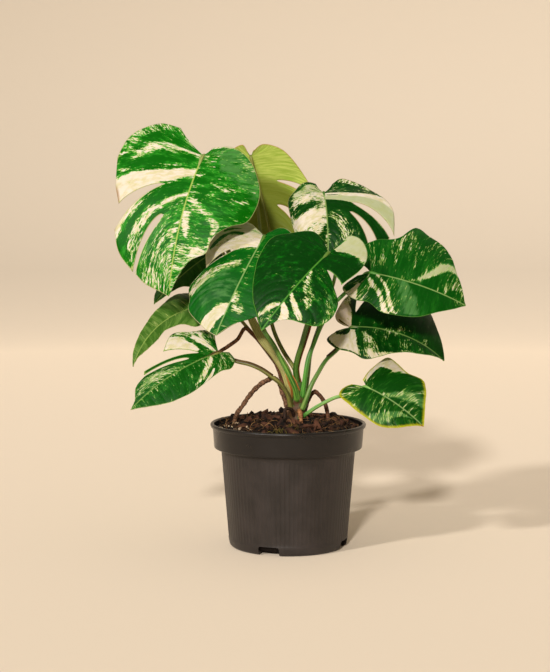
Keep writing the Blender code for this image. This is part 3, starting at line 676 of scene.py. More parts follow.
# Each leaf: sinus and tip are the ends of its midrib, faces the azimuth from -Y and the elevation of its
# upper face, arch and bow the rise and sideways bow of its midrib, stalk the line of its stalk.
leafShapes = {
    "leaf_top_left": dict(
        sinus=(-103, 12, 475), tip=(-142, -45, 308), faces=(-8, 20), arch=14, bow=-4, stalkRadius=3.9,
        left=halfLeaf(8, 30, 5, [(0, -36, 39), (10, -42, 70), (20, -17, 104), (30, 36, 104), (37, 82, 82),
            (37, 116, 79), (45, 144, 67), (52, 163, 47), (52, 164, 44), (65, 174, 30), (80, 180, 11),
            (100, 184, 0)], [(0.3, 5), (0.34, 17)]),
        right=halfLeaf(8, 35, 25, [(0, -14, 9), (10, -21, 28), (20, -10, 53), (33, 23, 79), (45, 56, 84),
            (53, 77, 77), (60, 88, 59), (67, 105, 43), (75, 126, 38), (83, 135, 21), (90, 153, 11),
            (100, 184, 0)]),
        stalk=[(6, 3, 178), (1, 2, 200), (-5, 3, 216), (-14, 4, 230), (-33, 6, 254), (-47, 12, 280),
            (-61, 22, 314), (-71, 32, 350), (-80, 38, 380), (-89, 38, 415), (-98, 30, 455),
            (-103, 12, 475)]),
    "leaf_top_back": dict(
        sinus=(-47, 106, 476), tip=(-14, 122, 338), faces=(172, 10), arch=10, bow=0, stalkRadius=2.8,
        left=halfLeaf(5, 25, 20, [(0, -7, 5), (10, -12, 21), (20, 2, 45), (30, 35, 61), (38, 67, 70),
            (38, 77, 63), (48, 98, 57), (55, 112, 48), (55, 127, 38), (70, 140, 30), (85, 148, 17),
            (100, 145, 0)], [(0.26, 4), (0.26, 6)]),
        right=halfLeaf(5, 25, 20, [(0, -8, 2), (10, -18, 7), (20, -10, 30), (35, 18, 55), (50, 54, 62),
            (65, 88, 55), (80, 118, 35), (90, 132, 17), (100, 145, 0)]),
        stalk=[(14, 12, 186), (14, 18, 198), (8, 25, 213), (-6, 31, 235), (-17, 39, 258), (-25, 56, 298),
            (-32, 86, 355), (-38, 118, 410), (-44, 124, 455), (-47, 106, 476)]),
    "leaf_top_right": dict(
        sinus=(45, 82, 430), tip=(49, 26, 357), faces=(6, 36), arch=12, bow=0, stalkRadius=2.6,
        left=halfLeaf(12, 35, -10, [(0, -22, 8), (10, -22, 26), (20, 8, 44), (35, 46, 46), (50, 70, 41),
            (65, 86, 34), (80, 94, 22), (90, 98, 11), (100, 97, 0)]),
        right=halfLeaf(12, 30, -25, [(0, -19, 13), (10, -28, 29), (20, -8, 61), (28, 34, 85), (34, 73, 84),
            (34, 76, 78), (44, 91, 63), (44, 97, 52), (60, 108, 32), (80, 108, 15), (90, 103, 7),
            (100, 97, 0)], [(0.3, 10), (0.36, 4)]),
        stalk=[(20, 8, 181), (23, 13, 197), (25, 18, 212), (27, 24, 229), (32, 31, 247), (40, 40, 269),
            (51, 56, 298), (61, 78, 334), (60, 102, 381), (52, 104, 414), (45, 82, 430)]),
    "leaf_mid_left": dict(
        sinus=(-29, -8, 378), tip=(-86, -60, 262), faces=(-12, 38), arch=10, bow=2, stalkRadius=3.3,
        left=halfLeaf(12, 40, 30, [(0, -5, 10), (8, -12, 31), (16, 6, 58), (24, 37, 66), (32, 66, 49),
            (32, 80, 57), (42, 95, 62), (54, 110, 52), (66, 123, 46), (80, 134, 24), (90, 139, 11),
            (100, 141, 0)], [(0.35, 8)]),
        right=halfLeaf(12, 40, 30, [(0, -9, 2), (10, -19, 12), (20, -17, 28), (35, 3, 50), (50, 41, 57),
            (65, 74, 53), (80, 103, 39), (90, 121, 17), (100, 141, 0)]),
        stalk=[(11, -4, 178), (8, -9, 194), (2, -12, 208), (-7, -13, 226), (-18, -13, 247), (-31, -12, 267),
            (-38, -6, 295), (-39, 4, 325), (-36, 10, 355), (-31, 6, 371), (-29, -8, 378)]),
    "leaf_front": dict(
        sinus=(47, -45, 359), tip=(-32, -95, 271), faces=(2, 36), arch=10, bow=0, stalkRadius=3.7,
        left=halfLeaf(10, 35, 25, [(0, -12, 14), (8, -15, 33), (18, 2, 53), (28, 24, 69), (36, 56, 62),
            (46, 80, 50), (58, 104, 32), (72, 116, 18), (86, 124, 8), (100, 130, 0)]),
        right=halfLeaf(8, 30, -10, [(0, -28, 2), (6, -38, 6), (12, -41, 19), (20, -28, 38), (27, -3, 43),
            (33, 29, 40), (33, 41, 38), (43, 50, 52), (53, 70, 57), (62, 87, 51), (73, 96, 35),
            (82, 102, 19), (91, 112, 8), (100, 130, 0)], [(0.3, 4)]),
        stalk=[(12, 4, 186), (10, 4, 205), (9, 3, 216), (11, 0, 228), (16, -6, 246), (22, -14, 269),
            (32, -22, 302), (41, -26, 331), (46, -28, 350), (47, -45, 359)]),
    "leaf_left": dict(
        sinus=(-100, 22, 292), tip=(-188, -8, 220), faces=(-28, 42), arch=14, bow=-12, stalkRadius=2.7,
        left=halfLeaf(10, 30, 20, [(0, -7, 15), (10, -12, 34), (20, -1, 44), (35, 26, 36), (50, 49, 25),
            (65, 71, 18), (80, 92, 13), (92, 110, 7), (100, 122, 0)]),
        right=halfLeaf(10, 30, 20, [(0, 9, 20), (10, 20, 32), (20, 31, 34), (35, 45, 21), (50, 62, 15),
            (65, 78, 16), (80, 95, 12), (92, 110, 4), (100, 122, 0)]),
        stalk=[(5, 11, 172), (0, 19, 190), (-8, 24, 209), (-26, 28, 235), (-48, 30, 262), (-69, 33, 284),
            (-88, 34, 296), (-100, 22, 292)]),
    "leaf_low_left": dict(
        sinus=(-84, -20, 238), tip=(-187, -58, 174), faces=(-14, 36), arch=10, bow=-3, stalkRadius=3,
        left=halfLeaf(10, 30, 30, [(0, -13, 28), (6, -12, 41), (14, 10, 48), (22, 32, 56), (28, 54, 37),
            (28, 88, 27), (36, 91, 22), (36, 88, 20), (50, 105, 18), (65, 113, 11), (80, 118, 5),
            (100, 129, 0)], [(0.22, 2), (0.28, 12)]),
        right=halfLeaf(10, 35, 60, [(0, -15, 3), (5, -14, 16), (10, -2, 27), (16, 12, 27), (24, 21, 28),
            (34, 34, 31), (46, 55, 34), (60, 75, 32), (75, 91, 27), (88, 107, 17), (100, 129, 0)]),
        stalk=[(4, -2, 168), (-1, -8, 187), (-10, -11, 200), (-20, -12, 208), (-33, -12, 217),
            (-47, -11, 223), (-61, -9, 226), (-74, -6, 230), (-84, -20, 238)]),
    "leaf_right": dict(
        sinus=(99, -12, 334), tip=(214, -10, 294), faces=(14, 36), arch=11, bow=-2, stalkRadius=3.3,
        left=halfLeaf(10, 40, 20, [(0, -15, 6), (8, -31, 22), (14, -25, 32), (22, -11, 40), (32, 6, 41),
            (42, 23, 49), (52, 44, 48), (64, 69, 42), (76, 91, 27), (88, 109, 14), (100, 124, 0)]),
        right=halfLeaf(10, 40, 20, [(0, -15, 12), (8, -22, 33), (16, -15, 42), (24, -1, 53), (34, 23, 65),
            (42, 40, 97), (50, 58, 87), (60, 78, 76), (70, 93, 57), (80, 101, 38), (90, 112, 22),
            (100, 124, 0)]),
        stalk=[(17, -1, 182), (19, -4, 197), (21, -6, 212), (24, -5, 229), (31, -2, 248), (40, 3, 269),
            (53, 8, 292), (69, 12, 308), (86, 10, 324), (99, -12, 334)]),
    "leaf_mid_right": dict(
        sinus=(77, 16, 266), tip=(191, 20, 224), faces=(12, 48), arch=18, bow=0, stalkRadius=3.1,
        left=halfLeaf(10, 40, 25, [(0, -5, 6), (4, -21, 4), (8, -32, 11), (13, -16, 32), (19, 7, 41),
            (27, 23, 48), (37, 41, 43), (48, 58, 33), (60, 72, 26), (75, 91, 18), (88, 113, 7),
            (100, 129, 0)]),
        right=halfLeaf(10, 40, -60, [(0, -10, 2), (5, -21, 8), (10, -23, 21), (15, -15, 54), (21, -5, 67),
            (21, 17, 66), (35, 34, 84), (50, 58, 88), (65, 88, 82), (75, 99, 65), (85, 107, 43),
            (93, 118, 22), (100, 129, 0)], [(0.3, 3)]),
        stalk=[(17, -6, 168), (22, -9, 181), (28, -6, 197), (36, 0, 211), (46, 8, 226), (59, 18, 237),
            (70, 25, 247), (77, 28, 257), (77, 16, 266)]),
    "leaf_low_right": dict(
        sinus=(93, -30, 198), tip=(160, -52, 153), faces=(6, 38), arch=8, bow=0, stalkRadius=2.7,
        left=halfLeaf(10, 35, 25, [(0, -4, 4), (5, -21, 4), (10, -28, 11), (16, -25, 23), (24, -2, 32),
            (34, 18, 36), (45, 41, 37), (60, 60, 27), (75, 71, 15), (88, 79, 6), (100, 86, 0)]),
        right=halfLeaf(10, 35, 25, [(0, -9, 7), (6, -11, 23), (12, -10, 45), (18, -8, 57), (24, 6, 56),
            (30, 25, 50), (40, 44, 52), (50, 53, 52), (60, 61, 42), (72, 68, 29), (86, 76, 15),
            (100, 86, 0)]),
        stalk=[(14, -7, 157), (22, -12, 163), (33, -14, 171), (45, -16, 178), (58, -17, 184),
            (70, -16, 186), (83, -16, 190), (93, -30, 198)]),
    "leaf_back_left": dict(
        sinus=(-88, 52, 359), tip=(-165, 34, 293), faces=(-30, 20), arch=8, bow=0, stalkRadius=2.6,
        left=halfLeaf(8, 30, 20, [(0, -3, 13), (10, -1, 28), (25, 20, 36), (45, 53, 28), (65, 77, 16),
            (85, 97, 7), (100, 105, 0)]),
        right=halfLeaf(8, 30, 20, [(0, -1, 9), (10, 5, 23), (25, 24, 35), (45, 51, 27), (65, 67, 12),
            (85, 91, 5), (100, 105, 0)]),
        stalk=[(8, 14, 180), (5, 24, 197), (-2, 31, 213), (-20, 38, 243), (-40, 46, 283), (-58, 57, 317),
            (-75, 67, 346), (-88, 52, 359)]),
}

# Marks on each leaf, painted along its veins, by half and kind. A mark is its strength and then points in
# thousandths: (share of the vein from midrib to margin, vein, half width in veins).
# Kinds: cream adds white tissue (negative: green), sage greys it, brown dries it; where noted below, sage
# and brown marks are painted shade instead.
leafMarks = {
    "leaf_top_left": {
        "left cream": [
            (1.9, (0, 315, 18), (200, 335, 22), (500, 345, 26), (1000, 350, 28)),
            (0.7, (40, 205, 8), (200, 185, 18), (350, 180, 26), (500, 215, 28), (600, 245, 25),
             (720, 280, 18), (850, 300, 12)),
            (-0.7, (80, 250, 20), (500, 275, 18), (850, 290, 12)),
            (-0.4, (100, 100, 60), (600, 100, 60), (750, 130, 50)),
            (0.35, (780, 120, 100), (1000, 140, 120)),
            (-0.7, (30, 390, 20), (300, 410, 20), (650, 435, 18), (1000, 440, 16)),
            (0.9, (20, 450, 10), (350, 475, 14), (600, 480, 17), (780, 478, 14), (900, 480, 10)),
            (0.7, (420, 400, 10), (830, 388, 14), (1000, 395, 20)),
            (0.7, (30, 620, 30), (140, 650, 45), (240, 660, 20)),
            (0.35, (100, 800, 130), (1000, 750, 200))],
        "left sage": [
            (0.7, (250, 560, 40), (600, 560, 50), (850, 550, 30))],
        "right cream": [
            (0.9, (0, 560, 30), (60, 600, 50), (130, 660, 25)),
            (0.75, (20, 475, 12), (120, 500, 18), (330, 560, 22), (600, 620, 24), (850, 690, 28)),
            (0.65, (350, 760, 30), (750, 745, 45), (1000, 720, 50)),
            (0.5, (40, 335, 6), (250, 380, 9), (420, 410, 10)),
            (0.5, (720, 220, 20), (900, 240, 35), (980, 270, 30)),
            (0.4, (80, 240, 30), (240, 280, 20)),
            (0.35, (50, 850, 100), (1000, 850, 120)),
            (0.9, (840, 40, 40), (1000, 70, 100)),
            (-0.22, (120, 300, 300), (500, 350, 350), (1000, 350, 350))],
        "right sage": [
            (0.9, (300, 200, 100), (950, 250, 180))],
        "left brown": [
            (0.8, (985, 352, 15), (1000, 355, 20))],
    },
    "leaf_top_back": {
        "right cream": [
            (1.2, (300, 60, 40), (1000, 80, 100))],
        "left cream": [
            (0.6, (200, 450, 30), (1000, 500, 40))],
        # painted shade: on this under side the sage marks are the shadow that the leaves in front cast on
        # it
        "right sage": [
            (1, (0, 600, 300), (1000, 600, 300))],
        "left sage": [
            (1, (0, 660, 300), (500, 700, 280), (1000, 750, 260))],
    },
    "leaf_top_right": {
        "left cream": [
            (0.82, (0, 400, 500), (1000, 400, 500)),
            (0.8, (20, 520, 30), (200, 590, 60), (600, 580, 80), (850, 500, 80)),
            (-0.95, (80, 390, 20), (250, 400, 45), (500, 410, 60), (850, 385, 50)),
            (-0.8, (0, 720, 50), (120, 820, 60), (300, 850, 50)),
            (-0.75, (820, 160, 160), (1000, 200, 220))],
        # the sage and brown marks on this half make it greyer and browner near the sinus
        "left sage": [
            (0.75, (50, 100, 120), (500, 120, 140), (800, 140, 160))],
        "left brown": [
            (0.22, (200, 80, 100), (750, 80, 100))],
        "right cream": [
            (0.5, (820, 140, 80), (1000, 170, 80)),
            (2.6, (0, 235, 12), (330, 262, 16), (750, 256, 16), (1000, 262, 16)),
            (2.4, (0, 310, 35), (300, 312, 35), (700, 310, 40), (1000, 315, 35)),
            (-2.4, (0, 400, 50), (1000, 400, 60)),
            (0.45, (100, 570, 40), (400, 620, 70), (1000, 680, 90)),
            (-0.6, (0, 660, 40), (200, 800, 70), (500, 880, 50))],
        # painted shade: the sage mark greys the white band where the drooping lobe lies in shadow
        "right sage": [
            (1.3, (0, 310, 30), (300, 312, 30), (700, 312, 34), (1000, 315, 30))],
    },
    "leaf_mid_left": {
        "left cream": [
            (1.5, (0, 140, 130), (1000, 140, 150)),
            (-1.5, (300, 210, 12), (550, 200, 20), (720, 225, 24), (880, 250, 14)),
            (-1.35, (500, 150, 10), (660, 165, 18), (800, 170, 12)),
            (-0.9, (130, 100, 30), (300, 120, 30)),
            (2.6, (0, 285, 20), (500, 300, 26), (1000, 310, 30)),
            (0.75, (100, 460, 30), (500, 500, 35), (930, 500, 45)),
            (-0.5, (0, 640, 80), (500, 670, 100), (1000, 680, 90)),
            (2, (0, 800, 35), (230, 840, 50), (600, 870, 55), (1000, 860, 50))],
        "left sage": [
            (0.75, (0, 100, 100), (1000, 120, 140)),
            (0.7, (200, 520, 40), (800, 540, 50)),
            (0.5, (0, 660, 80), (700, 680, 90)),
            (0.45, (0, 800, 30), (300, 850, 50), (1000, 860, 50))],
        "right cream": [
            (0.65, (0, 700, 50), (120, 760, 50), (300, 800, 30)),
            (-0.45, (150, 400, 400), (1000, 400, 450))],
    },
    "leaf_front": {
        "left cream": [
            (-0.5, (0, 200, 300), (1000, 200, 300)),
            (0.32, (200, 450, 40), (450, 380, 70), (800, 360, 90), (1000, 360, 80)),
            (-0.6, (100, 630, 70), (1000, 620, 80)),
            (0.5, (0, 550, 30), (90, 600, 35), (180, 640, 20)),
            (0.95, (50, 770, 12), (380, 800, 30), (750, 800, 30), (950, 780, 20)),
            (0.4, (100, 870, 30), (900, 870, 40))],
        "right cream": [
            (2.2, (20, 755, 18), (180, 790, 26), (500, 840, 34), (1000, 890, 45)),
            (1.15, (30, 660, 16), (100, 690, 20), (330, 735, 22), (620, 750, 20), (850, 755, 12)),
            (0.72, (20, 440, 35), (100, 530, 50), (280, 610, 45), (420, 660, 20)),
            (-0.5, (450, 640, 30), (700, 680, 30)),
            (0.42, (500, 500, 30), (750, 520, 60), (1000, 560, 90)),
            (2.6, (300, 100, 30), (800, 130, 70), (1000, 120, 100)),
            (-0.6, (0, 270, 60), (1000, 280, 50))],
        "right sage": [
            (0.5, (500, 500, 50), (1000, 560, 100)),
            (0.85, (300, 100, 50), (1000, 120, 120))],
    },
    "leaf_left": {
        "left cream": [
            (0.15, (0, 500, 400), (1000, 500, 400))],
    },
    "leaf_low_left": {
        "left cream": [
            (0.5, (350, 100, 120), (1000, 120, 140)),
            (1.7, (60, 210, 10), (300, 200, 22), (560, 185, 22), (640, 170, 10)),
            (2.6, (300, 268, 10), (550, 260, 18), (800, 256, 22), (1000, 256, 22)),
            (-0.8, (0, 20, 50), (500, 40, 50)),
            (-1.6, (100, 330, 40), (1000, 330, 50)),
            (0.42, (50, 520, 50), (300, 600, 70), (850, 600, 90))],
        "left sage": [
            (0.7, (100, 550, 60), (850, 620, 100))],
        "right cream": [
            (0.3, (50, 80, 100), (900, 120, 100)),
            (0.7, (50, 280, 30), (250, 310, 30), (500, 380, 45), (700, 430, 40)),
            (2.8, (600, 285, 12), (800, 315, 26), (1000, 350, 34)),
            (-0.25, (100, 700, 200), (1000, 700, 250))],
    },
    "leaf_right": {
        "right cream": [
            (1.1, (20, 520, 12), (80, 600, 18), (230, 680, 26), (600, 750, 30), (900, 795, 30),
             (1000, 805, 30)),
            (0.42, (30, 760, 40), (450, 900, 40), (900, 900, 40)),
            (0.34, (150, 260, 100), (450, 360, 120), (800, 320, 100))],
        "right sage": [
            (1.2, (50, 580, 20), (250, 680, 30), (600, 750, 35), (1000, 800, 40))],
        "left cream": [
            (0.85, (40, 150, 20), (200, 220, 26), (400, 290, 30), (650, 385, 26), (1000, 460, 24)),
            (0.8, (0, 250, 12), (150, 310, 16), (350, 385, 18), (880, 490, 18)),
            (1.1, (500, 140, 20), (830, 170, 35), (1000, 160, 60)),
            (-0.35, (0, 660, 120), (1000, 780, 200))],
        "left sage": [
            (0.75, (20, 450, 50), (350, 540, 70), (800, 600, 60))],
    },
    "leaf_mid_right": {
        "left cream": [
            (3, (120, 210, 20), (350, 190, 50), (700, 165, 80), (880, 150, 90)),
            (0.8, (120, 300, 20), (300, 330, 40), (600, 355, 45), (800, 340, 40)),
            (0.95, (840, 360, 70), (1000, 420, 100)),
            (0.55, (800, 620, 60), (1000, 660, 80)),
            (0.5, (0, 500, 60), (40, 560, 70)),
            (0.15, (250, 660, 100), (700, 750, 200))],
        "right cream": [
            (0.7, (0, 500, 50), (60, 600, 60)),
            (1.8, (0, 70, 90), (1000, 70, 90)),
            (-2.2, (200, 50, 8), (800, 60, 12)),
            (-0.8, (120, 550, 400), (1000, 550, 420))],
        # painted shade: the folded basal lobe is white tissue in shadow, painted tan by the brown mark over
        # the cream
        "right brown": [
            (0.45, (0, 70, 90), (1000, 70, 90))],
    },
    "leaf_low_right": {
        "right cream": [
            (2.6, (480, 100, 70), (620, 160, 110), (850, 160, 130), (1000, 160, 130)),
            (-0.45, (100, 380, 100), (650, 450, 130), (1000, 450, 120)),
            (0.5, (30, 460, 40), (180, 600, 70), (500, 730, 70))],
        # painted shade: the brown mark tans the white lobe's upper part, which lies in shadow
        "right brown": [
            (0.24, (620, 240, 60), (1000, 260, 60))],
        "right sage": [
            (0.9, (30, 460, 50), (200, 620, 80), (600, 740, 90), (1000, 800, 80))],
        "left cream": [
            (0.32, (100, 100, 80), (450, 140, 90), (900, 200, 100)),
            (0.3, (200, 760, 100), (500, 550, 100), (850, 440, 80))],
        "left sage": [
            (0.9, (200, 760, 100), (500, 550, 100), (850, 440, 80))],
        "left brown": [
            (1, (0, 985, 30), (1000, 985, 30))],
    },
    "leaf_back_left": {},
}

# Tone of each leaf: bias is how much of it is cream, contrast how strong its blotches are, length how long
# its streaks are in mm, yellow how many mm of its margin are yellow; deep and lit are its greens, speck the
# tone between green and cream, rim and rib its margin and midrib, stalk the two tones of its stalk. The top
# back leaf shows its under side, whose sage marks are the part shaded by the other leaves.
leafTones = {
    "leaf_top_left": dict(bias=-0.42, deep="#035c00", lit="#24861a", speck="#84b450", rim="#b4ba7c",
        rib="#a0b858", length=13, seed=3, contrast=1.2, stalk=("#3a5e1c", "#93a058")),
    "leaf_top_back": dict(bias=-0.6, deep="#14500c", lit="#3c7a1e", rim="#a87c48", rib="#a6b860", length=20,
        seed=11, under=("#8fa83c", "#b4c45e"), shaded="#58620a", underRib="#a08a44",
        stalk=("#5a6a24", "#8a8a44")),
    "leaf_top_right": dict(bias=-0.55, deep="#023602", lit="#124c10", rim="#a99a72", rib="#7c9a54",
        length=9, seed=19, contrast=1.15, stalk=("#3c6a1e", "#6c8a3c")),
    "leaf_mid_left": dict(bias=-0.6, deep="#02520a", lit="#106810", rim="#b4b488", rib="#7ca05c", length=13,
        seed=23, stalk=("#2c5c14", "#6c9a3a")),
    "leaf_front": dict(bias=-0.68, deep="#013602", lit="#066006", rim="#5f9636", rib="#4c8c30", length=8,
        seed=31, contrast=0.95, stalk=("#3a6a1c", "#5c7a2c")),
    "leaf_left": dict(bias=-0.5, deep="#345c18", lit="#5a7c34", rim="#7c8c44", speck="#8c9c54",
        rib="#7c9448", length=32, seed=37, contrast=0.6, stalk=("#5c5a24", "#8a8040")),
    "leaf_low_left": dict(bias=-0.52, deep="#084a05", lit="#1f641a", rim="#7c9a4c", rib="#6a8c44",
        length=10, seed=41, contrast=1.1, stalk=("#4a4a1c", "#7c7c3c")),
    "leaf_right": dict(bias=-0.58, deep="#034604", lit="#12580d", rim="#4c7a30", rib="#7c9c58", length=22,
        seed=47, stalk=("#3c7a24", "#5c9a3a")),
    "leaf_mid_right": dict(bias=-0.66, deep="#013202", lit="#084c08", rim="#6a8a44", rib="#6c9048",
        length=10, seed=53, stalk=("#3f6a24", "#7c9a4c")),
    "leaf_low_right": dict(bias=-0.58, deep="#063c04", lit="#1c5810", rim="#a2a230", rib="#7c9c5c",
        length=18, seed=59, yellow=4.5, stalk=("#4c8a34", "#8ab45c")),
    "leaf_back_left": dict(bias=-0.9, deep="#1f4a10", lit="#35601a", rim="#7a8a44", rib="#6a8440",
        length=26, seed=61, stalk=("#4a5a1e", "#7a7a3c")),
}

blade = dict(columns=118, rows=32, thickness=0.6, sinus=0.2, heel=30.0, cutReach=0.12, veins=13, groove=0.3,
             grooveWidth=0.9, quilt=0.26, wave=1.1, waves=4.3, sway=1.2, swaySize=38.0, inset=0.4,
             columnGap=0.004, midribStart=2.0, midribEnd=0.5, uvSplit=400)


def midribFrame(leaf):
    # sinus, side, tip and face directions, radius and half angle of the arc from sinus to tip
    sinus = np.array(leaf["sinus"], float)
    reach = np.array(leaf["tip"], float) - sinus
    chord = np.linalg.norm(reach)
    along = reach / chord
    azimuth, rise = (math.radians(value) for value in leaf["faces"])
    level = math.cos(rise)
    face = np.array([level * math.sin(azimuth), -level * math.cos(azimuth), math.sin(rise)])
    face = unit(face - along * (face @ along))
    radius = (chord**2 / 4 + leaf["arch"] ** 2) / (2 * leaf["arch"])
    return sinus, np.cross(face, along), along, face, radius, math.asin(chord / 2 / radius)


def midribLength(leaf):
    *_, radius, halfAngle = midribFrame(leaf)
    return 2 * radius * halfAngle


def bendBlade(leaf, half, sign, across, down):
    # flat points (across the midrib, down along it) put in space: the midrib is an arc, the lobe behind
    # the sinus turns by its heel angle, and across it the blade leaves at the fold angle and turns down
    sinus, side, along, face, radius, halfAngle = midribFrame(leaf)
    heelRadius = blade["heel"] / math.radians(half["heel"] or 0.01)
    bendRadius = np.where(down >= 0, radius, heelRadius)
    turn = halfAngle - down / bendRadius
    forward = bendRadius * (math.sin(halfAngle) - np.sin(turn))
    rise = bendRadius * (np.cos(turn) - math.cos(halfAngle))
    share = np.clip(down / (2 * radius * halfAngle), 0, 1)
    bow = leaf["bow"] * 4 * share * (1 - share)
    fold = math.radians(half["fold"])
    rate = math.radians(half["droop"]) / max(point[2] for point in half["rim"])
    out = (math.sin(fold) - np.sin(fold - rate * across)) / rate
    lift = (np.cos(fold - rate * across) - math.cos(fold)) / rate
    normal = np.cos(turn)[..., None] * face - np.sin(turn)[..., None] * along
    return (sinus + forward[..., None] * along + rise[..., None] * face
            + (sign * out + bow)[..., None] * side + lift[..., None] * normal)


def veinCurve(length, vein, end, v):
    # flat points of veins: each leaves the midrib square and sweeps towards its rim point
    sweepShare = np.clip(0.2 + vein, 0, 1)[:, None]
    root = (np.clip((vein - blade["sinus"]) / (1 - blade["sinus"]), 0, 1) * length)[:, None]
    down, across = end[:, :1], end[:, 1:]
    belly = sweepShare * v * (1 - v)
    return across * (v + belly), root + (down - root) * (v - belly)


def splitLobes(rim):
    lobes = [[rim[0]]]
    for before, after in zip(rim, rim[1:]):
        if after[0] == before[0]:
            lobes.append([after])
        else:
            lobes[-1].append(after)
    return lobes


def lobeGrids(leaf, half, columns):
    # for each lobe its veins, flat points and how open each of its two side edges is; a cut starts where
    # the vein stops being whole, opens as a square root and is widened by its extra width
    length = midribLength(leaf)
    v = np.linspace(0, 1, blade["rows"] + 1)[None, :]
    lobes = splitLobes(half["rim"])
    for index, lobe in enumerate(lobes):
        first, last = lobe[0][0], lobe[-1][0]
        vein = columns[(columns >= first - 1e-6) & (columns <= last + 1e-6)]
        knots = np.array([point[0] for point in lobe])
        ends = hermite(knots, np.array([point[1:] for point in lobe], float), vein)
        across, down = veinCurve(length, vein, ends, v)
        opens = []
        for atEnd, cut in ((False, index - 1), (True, index)):
            if not 0 <= cut < len(half["cuts"]):
                opens.append(None)
                continue
            whole, width = half["cuts"][cut]
            edge = last if atEnd else first
            own = np.array([lobe[-1 if atEnd else 0][1:]], float)
            other = np.array([lobes[index + 1][0][1:] if atEnd else lobes[index - 1][-1][1:]], float)
            ownCurve = veinCurve(length, np.array([edge]), own, v)
            otherCurve = veinCurve(length, np.array([edge]), other, v)
            openShare = np.clip((v - whole) / (1 - whole), 0, 1)
            joined = 1 - np.sqrt(openShare)
            widening = (-1 if atEnd else 1) * width * np.sqrt(openShare * (1 - openShare))
            reach = np.clip(1 - np.abs(vein - edge) / min(last - first, blade["cutReach"]), 0, 1)
            reach = (reach**2 * (3 - 2 * reach))[:, None]
            across = across - reach * joined * (ownCurve[0] - otherCurve[0]) / 2
            down = down - reach * (joined * (ownCurve[1] - otherCurve[1]) / 2 - widening)
            opens.append(openShare > 0)
        yield vein, v + 0 * across, across, down, opens


def strokeField(strokes, vein, v):
    # sum of one kind of marks: full within 0.55 of the half width from the line, gone at 1.45 of it
    total = np.zeros_like(v)
    for strength, *line in strokes:
        shares, centre, width = np.array(line, float).T / 1000
        across = np.abs(vein - np.interp(v, shares, centre)) / np.interp(v, shares, width)
        inside = (1 - smoothStep(across, 0.55, 1.45)) * smoothStep(v, shares[0] - 0.05, shares[0] + 0.01)
        total += strength * inside * (1 - smoothStep(v, shares[-1] - 0.01, shares[-1] + 0.05))
    return total


def bladeRelief(vein, v, spacing, points, seed):
    # mm along the blade's normals: a groove on each side vein, a low bulge between veins, waves that grow
    # to the margin and a slow sway of the whole
    order = vein * blade["veins"] + seed * 0.37
    fromVein = np.abs(order - np.round(order))
    away = fromVein * spacing / blade["veins"]
    grow = smoothStep(v, 0.02, 0.35)
    return (-blade["groove"] * np.exp(-(away / blade["grooveWidth"]) ** 2) * grow
            + blade["quilt"] * np.sin(math.pi * fromVein) * grow * (1 - 0.5 * v)
            + blade["wave"] * v**2 * np.sin(2 * math.pi * blade["waves"] * vein + seed) * (1 - vein)
            + blade["sway"] * latticeNoise(points, blade["swaySize"], seed) * smoothStep(v, 0.0, 0.4))


def bladeSheets(node, leaf):
    # both halves, lobe by lobe: the bent blade with its relief, and its marks with the distance to its edge
    cuts = sorted({lobe[0][0] for side in ("left", "right") for lobe in splitLobes(leaf[side]["rim"])[1:]})
    even = np.linspace(0, 1, blade["columns"] + 1)
    clear = [share for share in even if all(abs(share - cut) > blade["columnGap"] for cut in cuts)]
    columns = np.array(sorted(cuts + clear))
    low, high = np.array(cadBox) / mm
    seed = leafTones[node]["seed"]
    sheets = []
    for side, sign in (("left", -1), ("right", 1)):
        for vein, v, across, down, opens in lobeGrids(leaf, leaf[side], columns):
            points = bendBlade(leaf, leaf[side], sign, across, down)
            acrossVein = np.gradient(points, vein, axis=0)
            normal = unit(np.cross(acrossVein, np.gradient(points, axis=1))) * sign
            spacing = np.linalg.norm(acrossVein, axis=-1)
            vein = vein[:, None]
            relief = bladeRelief(vein, v, spacing, points, seed)
            points = points + normal * relief[..., None]
            points = np.clip(points, low + blade["inset"], high - blade["inset"])
            steps = np.linalg.norm(np.diff(points, axis=1), axis=-1)
            downVein = np.concatenate([0 * vein, np.cumsum(steps, axis=1)], axis=1)
            edge = downVein[:, -1:] - downVein
            for row, isOpen in zip((0, -1), opens):
                if isOpen is not None:
                    gap = np.linalg.norm(points - points[row][None], axis=-1)
                    edge = np.where(isOpen, np.minimum(edge, gap), edge)
            scale = spacing[:, int(0.6 * blade["rows"])].mean()
            shift = blade["uvSplit"] if side == "left" else 0
            uv = np.stack(np.broadcast_arrays(vein * scale + shift, downVein), axis=-1)
            strokes = [leafMarks[node].get(f"{side} {kind}", ()) for kind in ("cream", "sage", "brown")]
            marks = np.stack([*(strokeField(group, vein, v) for group in strokes), edge], axis=-1)
            sheets.append(dict(points=points, uv=uv, marks=marks, flip=side == "left"))
    return sheets


def marbling(tree, uv, tone, cream):
    # how much cream tissue there is: the painted marks plus blotches, streaks and flecks along the veins
    seed, length, gain = tone["seed"] * 13.0, tone["length"], tone.get("contrast", 1.0)
    patch = noiseAt(tree, uv, (8.0, length * 1.8, 1.0), 2, 0.5, seed)
    streak = noiseAt(tree, uv, (2.0, length, 1.0), 3, 0.65, seed + 5)
    fleck = noiseAt(tree, uv, (0.9, length * 0.3, 1.0), 2, 0.6, seed + 9)
    weights = np.array([1.7, 2.5, 1.9]) * gain
    base = tone["bias"] - weights.sum() / 2
    return weigh(tree, (cream, 1.0), (base, 1.0), *zip((patch, streak, fleck), weights)), streak


def paintedMarks(tree):
    # the cream, sage and brown marks of a blade, and the distance to its edge in mm
    marks = addNode(tree, "ShaderNodeAttribute", attribute_name="marks")
    parts = addNode(tree, "ShaderNodeSeparateColor", {0: marks.outputs["Color"]})
    return *parts.outputs[:3], marks.outputs["Alpha"]


